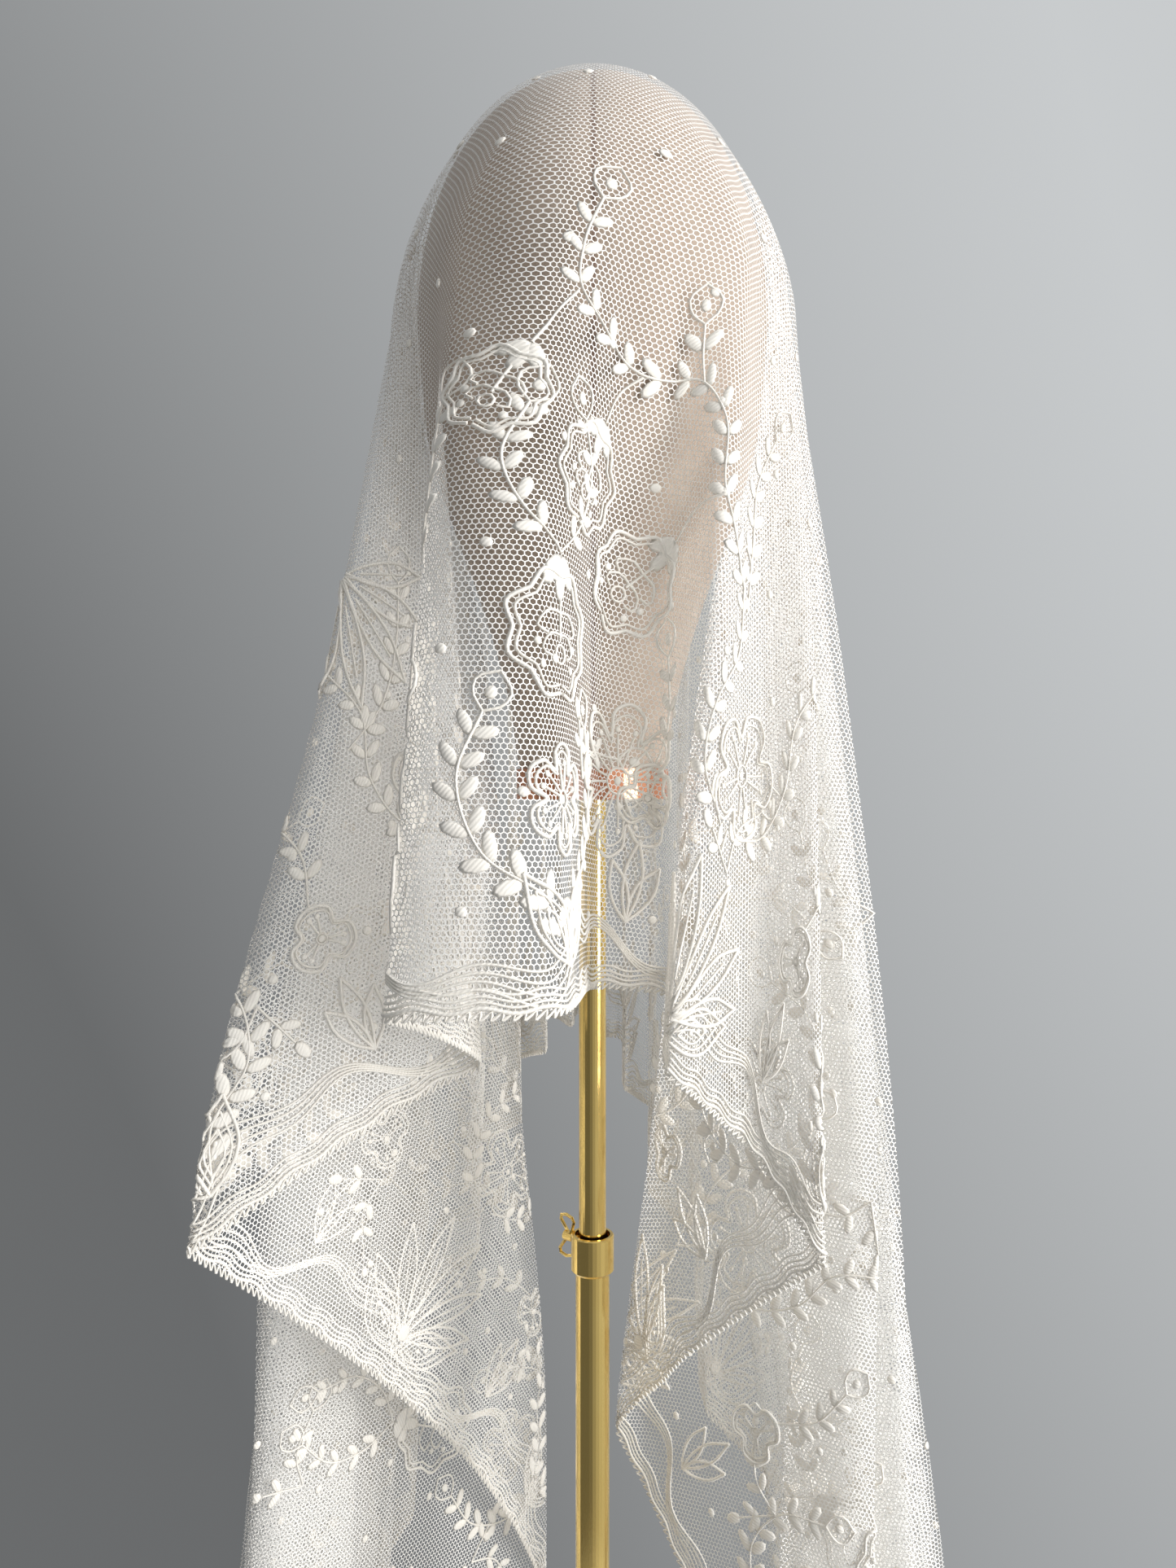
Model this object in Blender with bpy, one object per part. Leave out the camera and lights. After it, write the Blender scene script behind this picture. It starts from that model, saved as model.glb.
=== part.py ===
"""A bridal veil of embroidered cotton net, draped over a head form on a brass floor stand.

The veil is one oblong of net with its middle on the crown of the head form. A point of the cloth is
given by its flat polar place: its distance from the crown, and its bearing from the middle of the
front edge. The FOLDS table says where the ridge of each fold runs. The valley between two ridges is
worked out from the cloth that lies between them, so the cloth keeps its length all the way round.

Metres, +Z up, the front of the veil towards -Y. The origin is the centre of the base's underside.
"""
import math
from collections import namedtuple

import bmesh
import bpy
import numpy as np

for thing in list(bpy.data.objects):
    bpy.data.objects.remove(thing, do_unlink=True)

MM = 0.001
SEAM = 0.3 * MM                  # gap between pieces that touch

# Heights above the floor
CROWN = 1.447                    # top of the head form
BROW = 1.345                     # widest level of the head form
RING_TOP = 1.1565
RING_BOTTOM = 1.1435
CHIN = 1.200                     # four levels at which the folds of the veil are placed
CHEST = 1.000
WAIST = 0.800
FOOT = 0.250

# Head form
HEAD_WIDE = 76 * MM              # half width at the brow
HEAD_FRONT = 95 * MM
HEAD_BACK = 97 * MM
CROWN_FULLNESS = 2.15            # 2 is an ellipse, more is squarer
NECK_RADIUS = 31.7 * MM

# Cloth, as cut: distances from the crown to the edges
FRONT_DROP = 0.432
BACK_DROP = 0.49
SIDE_DROP = 1.15
CORNER_SHARPNESS = 8             # of the rounded corners, a superellipse exponent
WALL = 1.4 * MM
CLOTH_OFF_HEAD = 1.9 * MM        # from the head form to the middle of the wall
CLOTH_OFF_POLE = 32 * MM         # nothing of the veil comes nearer to the pole's axis
CLOTH_USED = 0.97                # share of the cloth's length that the large folds take up
EDGING_WIDTH = 4 * MM
SAMPLES_PER_SIDE = 3             # mesh columns from each ridge to the valley beside it

# Stand
BASE_RADIUS = 143 * MM
BASE_THICK = 12 * MM
HUB_RADIUS = 15 * MM
HUB_TOP = 32 * MM
LOWER_TUBE_RADIUS = 7.5 * MM
LOWER_TUBE_BORE = 6.3 * MM
MAST_RADIUS = 6 * MM
MAST_BORE = 5 * MM
MAST_BOTTOM = 0.620
MAST_TOP = 1.205
COLLAR_RADIUS = 9.5 * MM
COLLAR_BOTTOM = 0.9350
COLLAR_TOP = 0.9515
KEY_HEIGHT = 0.9470              # axis of the clamp screw
KEY_BEARING = math.radians(140)  # direction in which the screw points away from the pole, from +X
KEY_WIRE = 0.75 * MM
SCREW_RADIUS = 1.5 * MM
LOWER_TUBE_TOP = KEY_HEIGHT - SCREW_RADIUS - 1 * MM
RING_RADIUS = 33.5 * MM
RING_WALL = 1.5 * MM
ROUND_STEPS = 32


def finish(name, colour, metallic, roughness):
    """A Principled material in the part's own colour."""
    material = bpy.data.materials.new(name)
    material.use_nodes = True
    shader = material.node_tree.nodes["Principled BSDF"]
    shader.inputs["Base Color"].default_value = (*colour, 1)
    shader.inputs["Metallic"].default_value = metallic
    shader.inputs["Roughness"].default_value = roughness
    return material


NET = finish("cotton_net", (0.90, 0.88, 0.84), 0.0, 0.9)
LINEN = finish("linen", (0.78, 0.70, 0.62), 0.0, 0.95)
BRASS = finish("polished_brass", (0.80, 0.62, 0.25), 1.0, 0.2)
COPPER = finish("copper", (0.85, 0.45, 0.28), 1.0, 0.25)


def object_from(bm, name, material, smooth_angle=40):
    """Make a bmesh into a named object with one material, its round faces shaded smooth."""
    bmesh.ops.recalc_face_normals(bm, faces=bm.faces)
    mesh = bpy.data.meshes.new(name)
    bm.to_mesh(mesh)
    bm.free()
    mesh.materials.append(material)
    mesh.shade_smooth()
    mesh.set_sharp_from_angle(angle=math.radians(smooth_angle))
    made = bpy.data.objects.new(name, mesh)
    bpy.context.scene.collection.objects.link(made)
    return made


def turned(name, profile, material, steps=ROUND_STEPS):
    """Turn a closed profile of (radius, height) points about the pole's axis."""
    bm = bmesh.new()
    corners = [bm.verts.new((radius, 0, height)) for radius, height in profile]
    edges = [bm.edges.new((a, b)) for a, b in zip(corners, corners[1:])]
    if profile[0][0] > 0:
        edges.append(bm.edges.new((corners[-1], corners[0])))
    bmesh.ops.spin(bm, geom=corners + edges, axis=(0, 0, 1), cent=(0, 0, 0), dvec=(0, 0, 0),
                   angle=2 * math.pi, steps=steps, use_merge=True)
    bmesh.ops.remove_doubles(bm, verts=bm.verts, dist=0.00001)
    return object_from(bm, name, material)


# Base, a weighted round foot with a hub that the lower tube stands in
turned("base", [(0, 0), (BASE_RADIUS - 2 * MM, 0), (BASE_RADIUS, 2 * MM),
                (BASE_RADIUS, BASE_THICK - 4 * MM), (BASE_RADIUS - 4 * MM, BASE_THICK),
                (HUB_RADIUS + 3 * MM, BASE_THICK + 2 * MM), (HUB_RADIUS, BASE_THICK + 5 * MM),
                (HUB_RADIUS, HUB_TOP - 2 * MM), (HUB_RADIUS - 2 * MM, HUB_TOP),
                (LOWER_TUBE_RADIUS + SEAM, HUB_TOP), (LOWER_TUBE_RADIUS + SEAM, BASE_THICK),
                (0, BASE_THICK)], BRASS)

# Lower tube, collar and mast
turned("lower_tube", [(LOWER_TUBE_BORE, BASE_THICK + SEAM), (LOWER_TUBE_RADIUS, BASE_THICK + SEAM),
                      (LOWER_TUBE_RADIUS, LOWER_TUBE_TOP), (LOWER_TUBE_BORE, LOWER_TUBE_TOP)], BRASS)
collar = turned("collar", [(LOWER_TUBE_RADIUS + SEAM, COLLAR_BOTTOM),
                           (COLLAR_RADIUS - 1 * MM, COLLAR_BOTTOM),
                           (COLLAR_RADIUS, COLLAR_BOTTOM + 1.2 * MM),
                           (COLLAR_RADIUS, COLLAR_TOP - 0.5 * MM),
                           (COLLAR_RADIUS - 0.5 * MM, COLLAR_TOP),
                           (LOWER_TUBE_RADIUS + SEAM, COLLAR_TOP)], BRASS)
turned("mast", [(MAST_BORE, MAST_BOTTOM), (MAST_RADIUS, MAST_BOTTOM),
                (MAST_RADIUS, MAST_TOP), (MAST_BORE, MAST_TOP)], BRASS)


def along_key(out, side, up):
    """A point by its distance out along the screw, sideways, and above the screw's axis."""
    c, s = math.cos(KEY_BEARING), math.sin(KEY_BEARING)
    return (out * c - side * s, out * s + side * c, KEY_HEIGHT + up)


def rod_along_key(radius, start, end, steps=16):
    """A closed round rod on the screw's axis."""
    bm = bmesh.new()
    bmesh.ops.create_circle(bm, cap_ends=True, segments=steps, radius=radius)
    made = bmesh.ops.extrude_face_region(bm, geom=bm.faces[:])
    top = [v for v in made["geom"] if isinstance(v, bmesh.types.BMVert)]
    bmesh.ops.translate(bm, verts=top, vec=(0, 0, end - start))
    for vert in bm.verts:
        side, up, out = vert.co
        vert.co = along_key(start + out, side, up)
    return bm


def cutter_or_tool(bm, name):
    """A guide body for a Boolean, left out of the part."""
    guide = object_from(bm, name, BRASS)
    guide.hide_render = True
    guide.display_type = "WIRE"
    return guide


# The clamp screw goes through the collar and presses on the mast
screw_hole = collar.modifiers.new("screw_hole", "BOOLEAN")
screw_hole.operation = "DIFFERENCE"
screw_hole.object = cutter_or_tool(
    rod_along_key(SCREW_RADIUS + SEAM, LOWER_TUBE_RADIUS - 2 * MM, COLLAR_RADIUS + 3 * MM),
    "screw_hole_cutter")

# Its key is one wire bent into a bow, whose strands pass side by side through a small barrel
KEY_BOW = [  # out along the screw, sideways, up (mm)
    (13.6, 0.9, 0.0), (11.2, 0.7, 3.6), (10.7, 0.2, 6.6), (12.0, 0.0, 8.4), (15.4, 0.0, 9.3),
    (18.2, 0.0, 8.6), (18.6, -0.2, 6.6), (16.2, -0.7, 3.0), (13.6, -0.9, 0.0), (11.2, -0.7, -3.6),
    (10.7, -0.2, -6.6), (12.0, 0.0, -8.4), (15.4, 0.0, -9.3), (18.6, 0.0, -8.4), (18.9, 0.2, -6.4),
    (16.2, 0.7, -3.0)]
bow = bpy.data.curves.new("key_bow", "CURVE")
bow.dimensions = "3D"
bow.bevel_depth = KEY_WIRE
bow.bevel_resolution = 2
strand = bow.splines.new("POLY")
strand.points.add(len(KEY_BOW) - 1)
for point, (out, side, up) in zip(strand.points, KEY_BOW):
    point.co = (*along_key(out * MM, side * MM, up * MM), 1)
strand.use_cyclic_u = True
bent = bpy.data.objects.new("key_bow_curve", bow)
wire = bpy.data.objects.new("key_bow", bpy.data.meshes.new_from_object(bent))
bpy.data.objects.remove(bent)
bpy.context.scene.collection.objects.link(wire)
wire.hide_render = True
wire.display_type = "WIRE"

barrel = cutter_or_tool(rod_along_key(2.2 * MM, 11.0 * MM, 16.0 * MM), "key_barrel")
key = object_from(rod_along_key(SCREW_RADIUS, MAST_RADIUS + SEAM, 13.0 * MM), "key", BRASS)
for tool in (barrel, wire):
    joined = key.modifiers.new(tool.name, "BOOLEAN")
    joined.operation = "UNION"
    joined.object = tool

# Copper ring, a shallow cup that closes the neck, with a hole for the mast
turned("neck_ring", [(MAST_RADIUS + SEAM, RING_BOTTOM), (RING_RADIUS, RING_BOTTOM),
                     (RING_RADIUS, RING_TOP), (RING_RADIUS - RING_WALL, RING_TOP),
                     (RING_RADIUS - RING_WALL, RING_BOTTOM + RING_WALL),
                     (MAST_RADIUS + SEAM, RING_BOTTOM + RING_WALL)], COPPER)

# Head form below the brow: height, half width, reach to the front, reach to the back
Section = namedtuple("Section", "height wide front back")
HEAD_SECTIONS = [
    Section(RING_BOTTOM + RING_WALL + SEAM, NECK_RADIUS, NECK_RADIUS, NECK_RADIUS),
    Section(RING_TOP, NECK_RADIUS, NECK_RADIUS, NECK_RADIUS),
    Section(RING_TOP + 4 * MM, 33.0 * MM, 33.5 * MM, 33.5 * MM),
    Section(1.180, 35.5 * MM, 38 * MM, 38 * MM),
    Section(1.205, 41.5 * MM, 47 * MM, 47 * MM),
    Section(1.235, 51.0 * MM, 61 * MM, 61 * MM),
    Section(1.265, 62.0 * MM, 75 * MM, 76 * MM),
    Section(1.300, 72.0 * MM, 88 * MM, 90 * MM),
    Section(BROW, HEAD_WIDE, HEAD_FRONT, HEAD_BACK)]


def smooth_through(xs, ys, x):
    """Smooth curve through points, which never overshoots them (Fritsch and Carlson's slopes)."""
    xs, ys, x = np.asarray(xs, float), np.asarray(ys, float), np.asarray(x, float)
    gaps = np.diff(xs)
    rises = np.diff(ys) / gaps
    slopes = np.zeros_like(ys)
    slopes[0], slopes[-1] = rises[0], rises[-1]
    for i in range(1, len(xs) - 1):
        if rises[i - 1] * rises[i] > 0:
            slopes[i] = 2 * rises[i - 1] * rises[i] / (rises[i - 1] + rises[i])
    at = np.clip(np.searchsorted(xs, x) - 1, 0, len(gaps) - 1)
    t = np.clip((x - xs[at]) / gaps[at], 0, 1)
    return (ys[at] * (1 + 2 * t) * (1 - t) ** 2 + ys[at + 1] * t * t * (3 - 2 * t)
            + gaps[at] * t * (1 - t) * (slopes[at] * (1 - t) - slopes[at + 1] * t))


def head_radius(height, bearing):
    """Distance from the pole's axis to the head form's surface; bearing 0 is the front."""
    height, bearing = np.broadcast_arrays(height, bearing)
    heights = [section.height for section in HEAD_SECTIONS]
    wide, front, back = (smooth_through(heights, [getattr(section, side) for section in HEAD_SECTIONS],
                                        np.minimum(height, BROW)) for side in ("wide", "front", "back"))
    deep = np.where(np.cos(bearing) > 0, front, back)
    plan = 1 / np.hypot(np.sin(bearing) / wide, np.cos(bearing) / deep)
    rise = np.clip((height - BROW) / (CROWN - BROW), 0, 1)
    return plan * (1 - rise ** CROWN_FULLNESS) ** (1 / CROWN_FULLNESS)


def plan_point(bearing, radius, height):
    """A point by its bearing, its distance from the pole's axis and its height."""
    return np.stack([radius * np.sin(bearing), -radius * np.cos(bearing),
                     np.broadcast_to(height, np.shape(radius))], axis=-1)


# Head form: rings of points from the neck to the crown, and a socket for the mast's end
HEAD_STEPS = 36
SOCKET_TOP = MAST_TOP + SEAM
around = np.linspace(0, 2 * math.pi, HEAD_STEPS, endpoint=False)
rises = [math.sin(a) for a in np.linspace(0.12, math.pi / 2 * 0.94, 9)]
head_levels = ([section.height for section in HEAD_SECTIONS]
               + [BROW + (CROWN - BROW) * rise for rise in rises])
bm = bmesh.new()


def ring_of(points):
    """Closed ring of vertices and edges."""
    verts = [bm.verts.new(point) for point in points]
    return [bm.edges.new((a, b)) for a, b in zip(verts, verts[1:] + verts[:1])]


def socket_ring(height):
    """Ring of the socket's wall at one height."""
    return ring_of(plan_point(around, np.full(HEAD_STEPS, MAST_RADIUS + SEAM), height))


rings = [socket_ring(SOCKET_TOP), socket_ring(head_levels[0])]
rings += [ring_of(plan_point(around, head_radius(level, around), level)) for level in head_levels]
for lower, upper in zip(rings, rings[1:]):
    bmesh.ops.bridge_loops(bm, edges=lower + upper)
for ring, height in ((rings[0], SOCKET_TOP), (rings[-1], CROWN)):
    centre = bm.verts.new((0, 0, height))
    for edge in ring:
        bm.faces.new((*edge.verts, centre))
object_from(bm, "head_form", LINEN)


# Folds of the veil. Bearings are in degrees from the front, positive to the viewer's right.
#   flat     bearing of the fold's line on the flat cloth
#   brow     bearing at which it leaves the head form
#   proud    how far it stands off the head form there (mm)
#   chin, chest, waist   its place in plan at those levels (mm)
#            and foot, if it stands elsewhere there than at the waist
Fold = namedtuple("Fold", "name flat brow proud chin chest waist foot", defaults=[None])
FRONT_FOLDS = [
    Fold("left_corner", -36.5, -70, 8, (-103, -60), (-147, -82), (-162, -88)),
    Fold("left_valley", -24, -50, 2, (-54, -54), (-46, -28), (-44, -20)),
    Fold("panel_left", -9.5, -29, 8, (-60, -118), (-70, -146), (-74, -155)),
    Fold("panel_right", -2, -8, 8, (-18, -124), (-11, -146), (-9, -155)),
    Fold("middle_valley_1", 8.5, 10, 0, (3, -73), (0, -44), (0, -40)),
    Fold("middle_valley_2", 13, 20, 0, (26, -66), (32, -26), (33, -20)),
    Fold("middle_right", 20.5, 36, 7, (42, -96), (25, -92), (22, -95)),
    Fold("right_dip", 27.5, 48, 3, (63, -71), (57, -70), (56, -72)),
    Fold("right_corner", 35.5, 60, 9, (84, -70), (85, -82), (88, -86)),
    Fold("right_valley", 49, 72, 1, (47, -9), (28, 20), (9, 38))]
LAST_VALLEY = Fold("left_back_valley", 303, 282, 1, (-47, -4), (-36, 62), (-24, 102))

# Behind the front the veil hangs in pleats. Their ridges stand on an oval in plan at each level, and
# each valley is tucked towards an aim, as deep as the cloth between its ridges allows, but no deeper
# than tuck. The bearings and the aims go evenly from the first pleat to the last.
Oval = namedtuple("Oval", "centre radii first last first_aim last_aim tuck")
Pleat = namedtuple("Pleat", "flat brow reach")
RIGHT_OVALS = [Oval((15, 20), (98, 98), 64, 138, (5, 30), (0, 10), 40),
               Oval((25, 25), (112, 105), 58, 141, (20, 55), (15, 15), 50),
               Oval((55, 52), (112, 92), 36, 140, (40, 60), (30, 30), 62),
               Oval((75, 62), (162, 135), 36, 140, (50, 70), (45, 40), 90)]
RIGHT_PLEATS = [Pleat(62, 81, 0.98), Pleat(72, 89, 1.0), Pleat(82, 97, 0.97), Pleat(93, 106, 1.0),
                Pleat(104, 115, 0.97), Pleat(116, 125, 1.0), Pleat(129, 135, 0.98)]
BACK_OVALS = [Oval((-5, 15), (108, 116), 149, 211, (0, 0), (0, 0), 40),
              Oval((-5, 10), (122, 140), 151, 209, (0, 0), (0, 0), 50),
              Oval((-5, 10), (130, 150), 151, 209, (0, 0), (0, 0), 55),
              Oval((-5, 10), (140, 160), 151, 209, (0, 0), (0, 0), 60)]
BACK_PLEATS = [Pleat(144, 146, 1.0), Pleat(155, 156, 0.98), Pleat(166, 166, 1.0), Pleat(177, 176, 0.97),
               Pleat(187, 185, 1.0), Pleat(198, 195, 0.98), Pleat(209, 205, 1.0)]
LEFT_OVALS = [Oval((-15, 20), (97, 98), 223, 294, (0, 10), (-10, 30), 40),
              Oval((-30, 25), (118, 114), 220, 284, (-10, 10), (-30, 95), 45),
              Oval((-62, 60), (108, 98), 212, 300, (-40, 40), (-62, 105), 55),
              Oval((-82, 70), (150, 130), 212, 300, (-60, 50), (-80, 120), 84)]
LEFT_PLEATS = [Pleat(222, 218, 1.0), Pleat(235, 228, 0.98), Pleat(247, 239, 1.0), Pleat(258, 249, 0.97),
               Pleat(268, 257, 1.0), Pleat(278, 265, 0.97), Pleat(288, 273, 1.0)]
PLEAT_PROUD = 10
FOLD_ROUNDNESS = 0.55            # of the large folds' edges
RIDGE_ROUNDNESS = 1.6            # of the pleats' outer edges
VALLEY_ROUNDNESS = 0.6           # and of the valleys between them


def pleat_folds(side, pleats, ovals):
    """Rows like those of FRONT_FOLDS for evenly placed pleats."""
    rows = []
    for i, pleat in enumerate(pleats):
        share = i / (len(pleats) - 1)
        places = []
        for oval in ovals:
            bearing = math.radians(oval.first + (oval.last - oval.first) * share)
            places.append((oval.centre[0] + oval.radii[0] * pleat.reach * math.sin(bearing),
                           oval.centre[1] - oval.radii[1] * pleat.reach * math.cos(bearing)))
        rows.append(Fold(f"{side}_{i + 1}", pleat.flat, pleat.brow, PLEAT_PROUD, *places))
    return rows


REACHES = np.arange(0, 1.405, 0.005)     # distances from the crown at which the folds are worked out


def ease(t):
    """Smooth step from 0 to 1."""
    t = np.clip(t, 0, 1)
    return t * t * (3 - 2 * t)


def fold_line(fold):
    """Points of a fold's line at each of REACHES, measured along the line from the crown."""
    rise = np.cos(np.linspace(0, math.pi / 2, 40))
    height = BROW + (CROWN + CLOTH_OFF_HEAD - BROW) * rise
    fall = 1 - rise
    bearing = np.radians(fold.flat + (fold.brow - fold.flat) * ease(fall))
    out = CLOTH_OFF_HEAD + fold.proud * MM * ease((fall - 0.25) / 0.75)
    over_head = plan_point(bearing, head_radius(np.minimum(height, CROWN), bearing)
                           + out * np.sqrt(np.clip(1 - rise ** 2, 0, 1)), height)
    levels = [FOOT, WAIST, CHEST, CHIN, BROW]
    hang = np.linspace(BROW, FOOT, 90)[1:]
    columns = []
    for axis in range(2):
        places = [place[axis] * MM for place in (fold.foot or fold.waist, fold.waist, fold.chest, fold.chin)]
        columns.append(smooth_through(levels, places + [over_head[-1][axis]], hang))
    points = np.vstack([over_head, np.stack([*columns, hang], axis=-1)])
    along = np.concatenate([[0], np.cumsum(np.linalg.norm(np.diff(points, axis=0), axis=1))])
    return np.stack([np.interp(REACHES, along, points[:, axis]) for axis in range(3)], axis=-1)


def valley_line(ridge, after, span, ovals, share_round):
    """Points of the valley between two ridges, as deep as the cloth between them allows."""
    length = REACHES * span * CLOTH_USED
    middle = (ridge + after) / 2
    levels = [FOOT, WAIST, CHEST, CHIN, BROW]
    aims = [[first + (last - first) * share_round for first, last in zip(oval.first_aim, oval.last_aim)]
            for oval in reversed(ovals)] + [(0, 0)]
    height = np.clip(middle[:, 2], FOOT, BROW)
    aim = np.stack([smooth_through(levels, [place[axis] * MM for place in aims], height)
                    for axis in range(2)], axis=-1)
    tucks = [oval.tuck * MM for oval in reversed(ovals)] + [ovals[0].tuck * MM]
    deepest = smooth_through(levels, tucks, height)
    inward = aim - middle[:, :2]
    least, most = np.zeros(len(REACHES)), deepest / np.maximum(np.linalg.norm(inward, axis=1), MM)
    for _ in range(20):
        share = (least + most) / 2
        place = middle[:, :2] + inward * share[:, None]
        used = (np.linalg.norm(place - ridge[:, :2], axis=1)
                + np.linalg.norm(place - after[:, :2], axis=1))
        least = np.where(used < length, share, least)
        most = np.where(used < length, most, share)
    return np.hstack([place, middle[:, 2:]])


def spines():
    """Flat bearing and line of each ridge and valley, all the way round."""
    bearings = [fold.flat for fold in FRONT_FOLDS]
    lines = [fold_line(fold) for fold in FRONT_FOLDS]
    sectors = [("right", RIGHT_PLEATS, RIGHT_OVALS), ("back", BACK_PLEATS, BACK_OVALS),
               ("left", LEFT_PLEATS, LEFT_OVALS)]
    pleats = [(fold, ovals, i / (len(rows) - 1)) for side, rows, ovals in sectors
              for i, fold in enumerate(pleat_folds(side, rows, ovals))]
    for (fold, ovals, share), (following, _, _) in zip(pleats, pleats[1:] + [(None, None, None)]):
        bearings.append(fold.flat)
        lines.append(fold_line(fold))
        if following:
            span = math.radians(following.flat - fold.flat)
            bearings.append((fold.flat + following.flat) / 2)
            lines.append(valley_line(lines[-1], fold_line(following), span, ovals, share))
    bearings.append(LAST_VALLEY.flat)
    lines.append(fold_line(LAST_VALLEY))
    return np.radians(bearings), np.array(lines)


def off_the_head(points):
    """Move points that lie in the head form or by the pole out to where the cloth may be."""
    points = points.copy()
    radius = np.hypot(points[..., 0], points[..., 1])
    bearing = np.arctan2(points[..., 0], -points[..., 1])
    beside = (points[..., 2] <= BROW) & (points[..., 2] > RING_BOTTOM - 0.02)
    least = np.where(beside, head_radius(np.clip(points[..., 2], HEAD_SECTIONS[0].height, BROW), bearing)
                     + CLOTH_OFF_HEAD, CLOTH_OFF_POLE)
    least = np.where(points[..., 2] > BROW, 0, least)
    scale = np.maximum(least / np.maximum(radius, 1e-6), 1)
    points[..., 0] *= scale
    points[..., 1] *= scale
    above = points[..., 2] > BROW
    plan = head_radius(np.full_like(radius, BROW), bearing) + CLOTH_OFF_HEAD
    rise = (points[..., 2] - BROW) / (CROWN + CLOTH_OFF_HEAD - BROW)
    size = ((radius / plan) ** CROWN_FULLNESS + np.abs(rise) ** CROWN_FULLNESS) ** (1 / CROWN_FULLNESS)
    grow = np.where(above & (size < 1), 1 / np.maximum(size, 0.05), 1)
    points[..., 0] *= grow
    points[..., 1] *= grow
    points[..., 2] = BROW + (points[..., 2] - BROW) * np.where(above, grow, 1)
    return points


def draped_grid(per_side):
    """Points of the cloth at each of REACHES and at per_side columns between neighbouring spines.

    Each level is a smooth curve through the ridges and valleys, whose columns are spaced evenly
    along it. A column lies on the edge of each large fold, and on either side of each pleat's edge.
    The last column repeats the first.
    """
    bearings, lines = spines()
    after = np.roll(lines, -1, axis=0)
    gaps = np.maximum(np.linalg.norm(after - lines, axis=-1, keepdims=True), 1e-9)
    ways = (after - lines) / gaps
    place = np.arange(len(lines)) - len(FRONT_FOLDS)
    large = (place < 0) | (place == place[-1])
    roundness = np.where(large, FOLD_ROUNDNESS, np.where(place % 2, VALLEY_ROUNDNESS, RIDGE_ROUNDNESS))
    roundness = roundness[:, None, None]
    turns = roundness * (ways + np.roll(ways, 1, axis=0)) * np.minimum(gaps, np.roll(gaps, 1, axis=0))
    t = np.linspace(0, 1, 17)[:, None, None, None]
    curve = (lines * (2 * t ** 3 - 3 * t ** 2 + 1) + after * (3 * t ** 2 - 2 * t ** 3)
             + turns * (t ** 3 - 2 * t ** 2 + t) + np.roll(turns, -1, axis=0) * (t ** 3 - t ** 2))
    steps = np.linalg.norm(np.diff(curve, axis=0), axis=-1)
    along = np.concatenate([np.zeros((1, *steps.shape[1:])), np.cumsum(steps, axis=0)])
    along /= np.maximum(along[-1:], 1e-9)
    spans = np.append(bearings[1:], bearings[0] + 2 * math.pi) - bearings
    columns, flats = [], []
    for s in range(len(bearings)):
        for k in np.arange(per_side) + (0 if large[s] else 0.5):
            place = np.empty((len(REACHES), 3))
            for level in range(len(REACHES)):
                for axis in range(3):
                    place[level, axis] = np.interp(k / per_side, along[:, s, level],
                                                   curve[:, s, level, axis])
            columns.append(place)
            flats.append(bearings[s] + spans[s] * k / per_side)
    grid = off_the_head(np.array(columns + columns[:1]))
    return np.array(flats + [flats[0] + 2 * math.pi]), grid


FLATS, GRID = draped_grid(SAMPLES_PER_SIDE)


def on_cloth(reach, flat):
    """The draped place of the point at this distance from the crown and this flat bearing."""
    reach, flat = np.broadcast_arrays(np.asarray(reach, float), np.asarray(flat, float))
    turned_flat = FLATS[0] + np.mod(flat - FLATS[0], 2 * math.pi)
    column = np.clip(np.searchsorted(FLATS, turned_flat, side="right") - 1, 0, len(FLATS) - 2)
    across = (turned_flat - FLATS[column]) / (FLATS[column + 1] - FLATS[column])
    level = np.clip(reach / (REACHES[1] - REACHES[0]), 0, len(REACHES) - 1.001)
    row = level.astype(int)
    down = (level - row)[..., None]
    across = across[..., None]
    return ((GRID[column, row] * (1 - down) + GRID[column, row + 1] * down) * (1 - across)
            + (GRID[column + 1, row] * (1 - down) + GRID[column + 1, row + 1] * down) * across)


def hem_reach(flat):
    """Distance from the crown to the cloth's edge: an oblong with rounded corners."""
    flat = np.asarray(flat, float)
    drop = np.where(np.cos(flat) > 0, FRONT_DROP, BACK_DROP)
    return (np.abs(np.cos(flat) / drop) ** CORNER_SHARPNESS
            + np.abs(np.sin(flat) / SIDE_DROP) ** CORNER_SHARPNESS) ** (-1 / CORNER_SHARPNESS)


def past_hem(flat, distance):
    """Distance from the crown, at this flat bearing, to a line this far outside the cloth's edge."""
    reach = hem_reach(flat)
    slant = (hem_reach(flat + 0.01) - hem_reach(flat - 0.01)) / 0.02 / reach
    return reach + distance * np.sqrt(1 + slant ** 2)


def face_out(reach, flat):
    """Unit normal of the draped cloth, on its outer side."""
    down = on_cloth(reach + 0.004, flat) - on_cloth(np.maximum(reach - 0.004, 0), flat)
    here = on_cloth(reach, flat)
    ahead = on_cloth(reach, flat + 0.008) - here
    behind = here - on_cloth(reach, flat - 0.008)
    along = (ahead / np.linalg.norm(ahead, axis=-1, keepdims=True)
             + behind / np.linalg.norm(behind, axis=-1, keepdims=True))
    normal = np.cross(down, along)
    return normal / np.linalg.norm(normal, axis=-1)[..., None]


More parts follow.
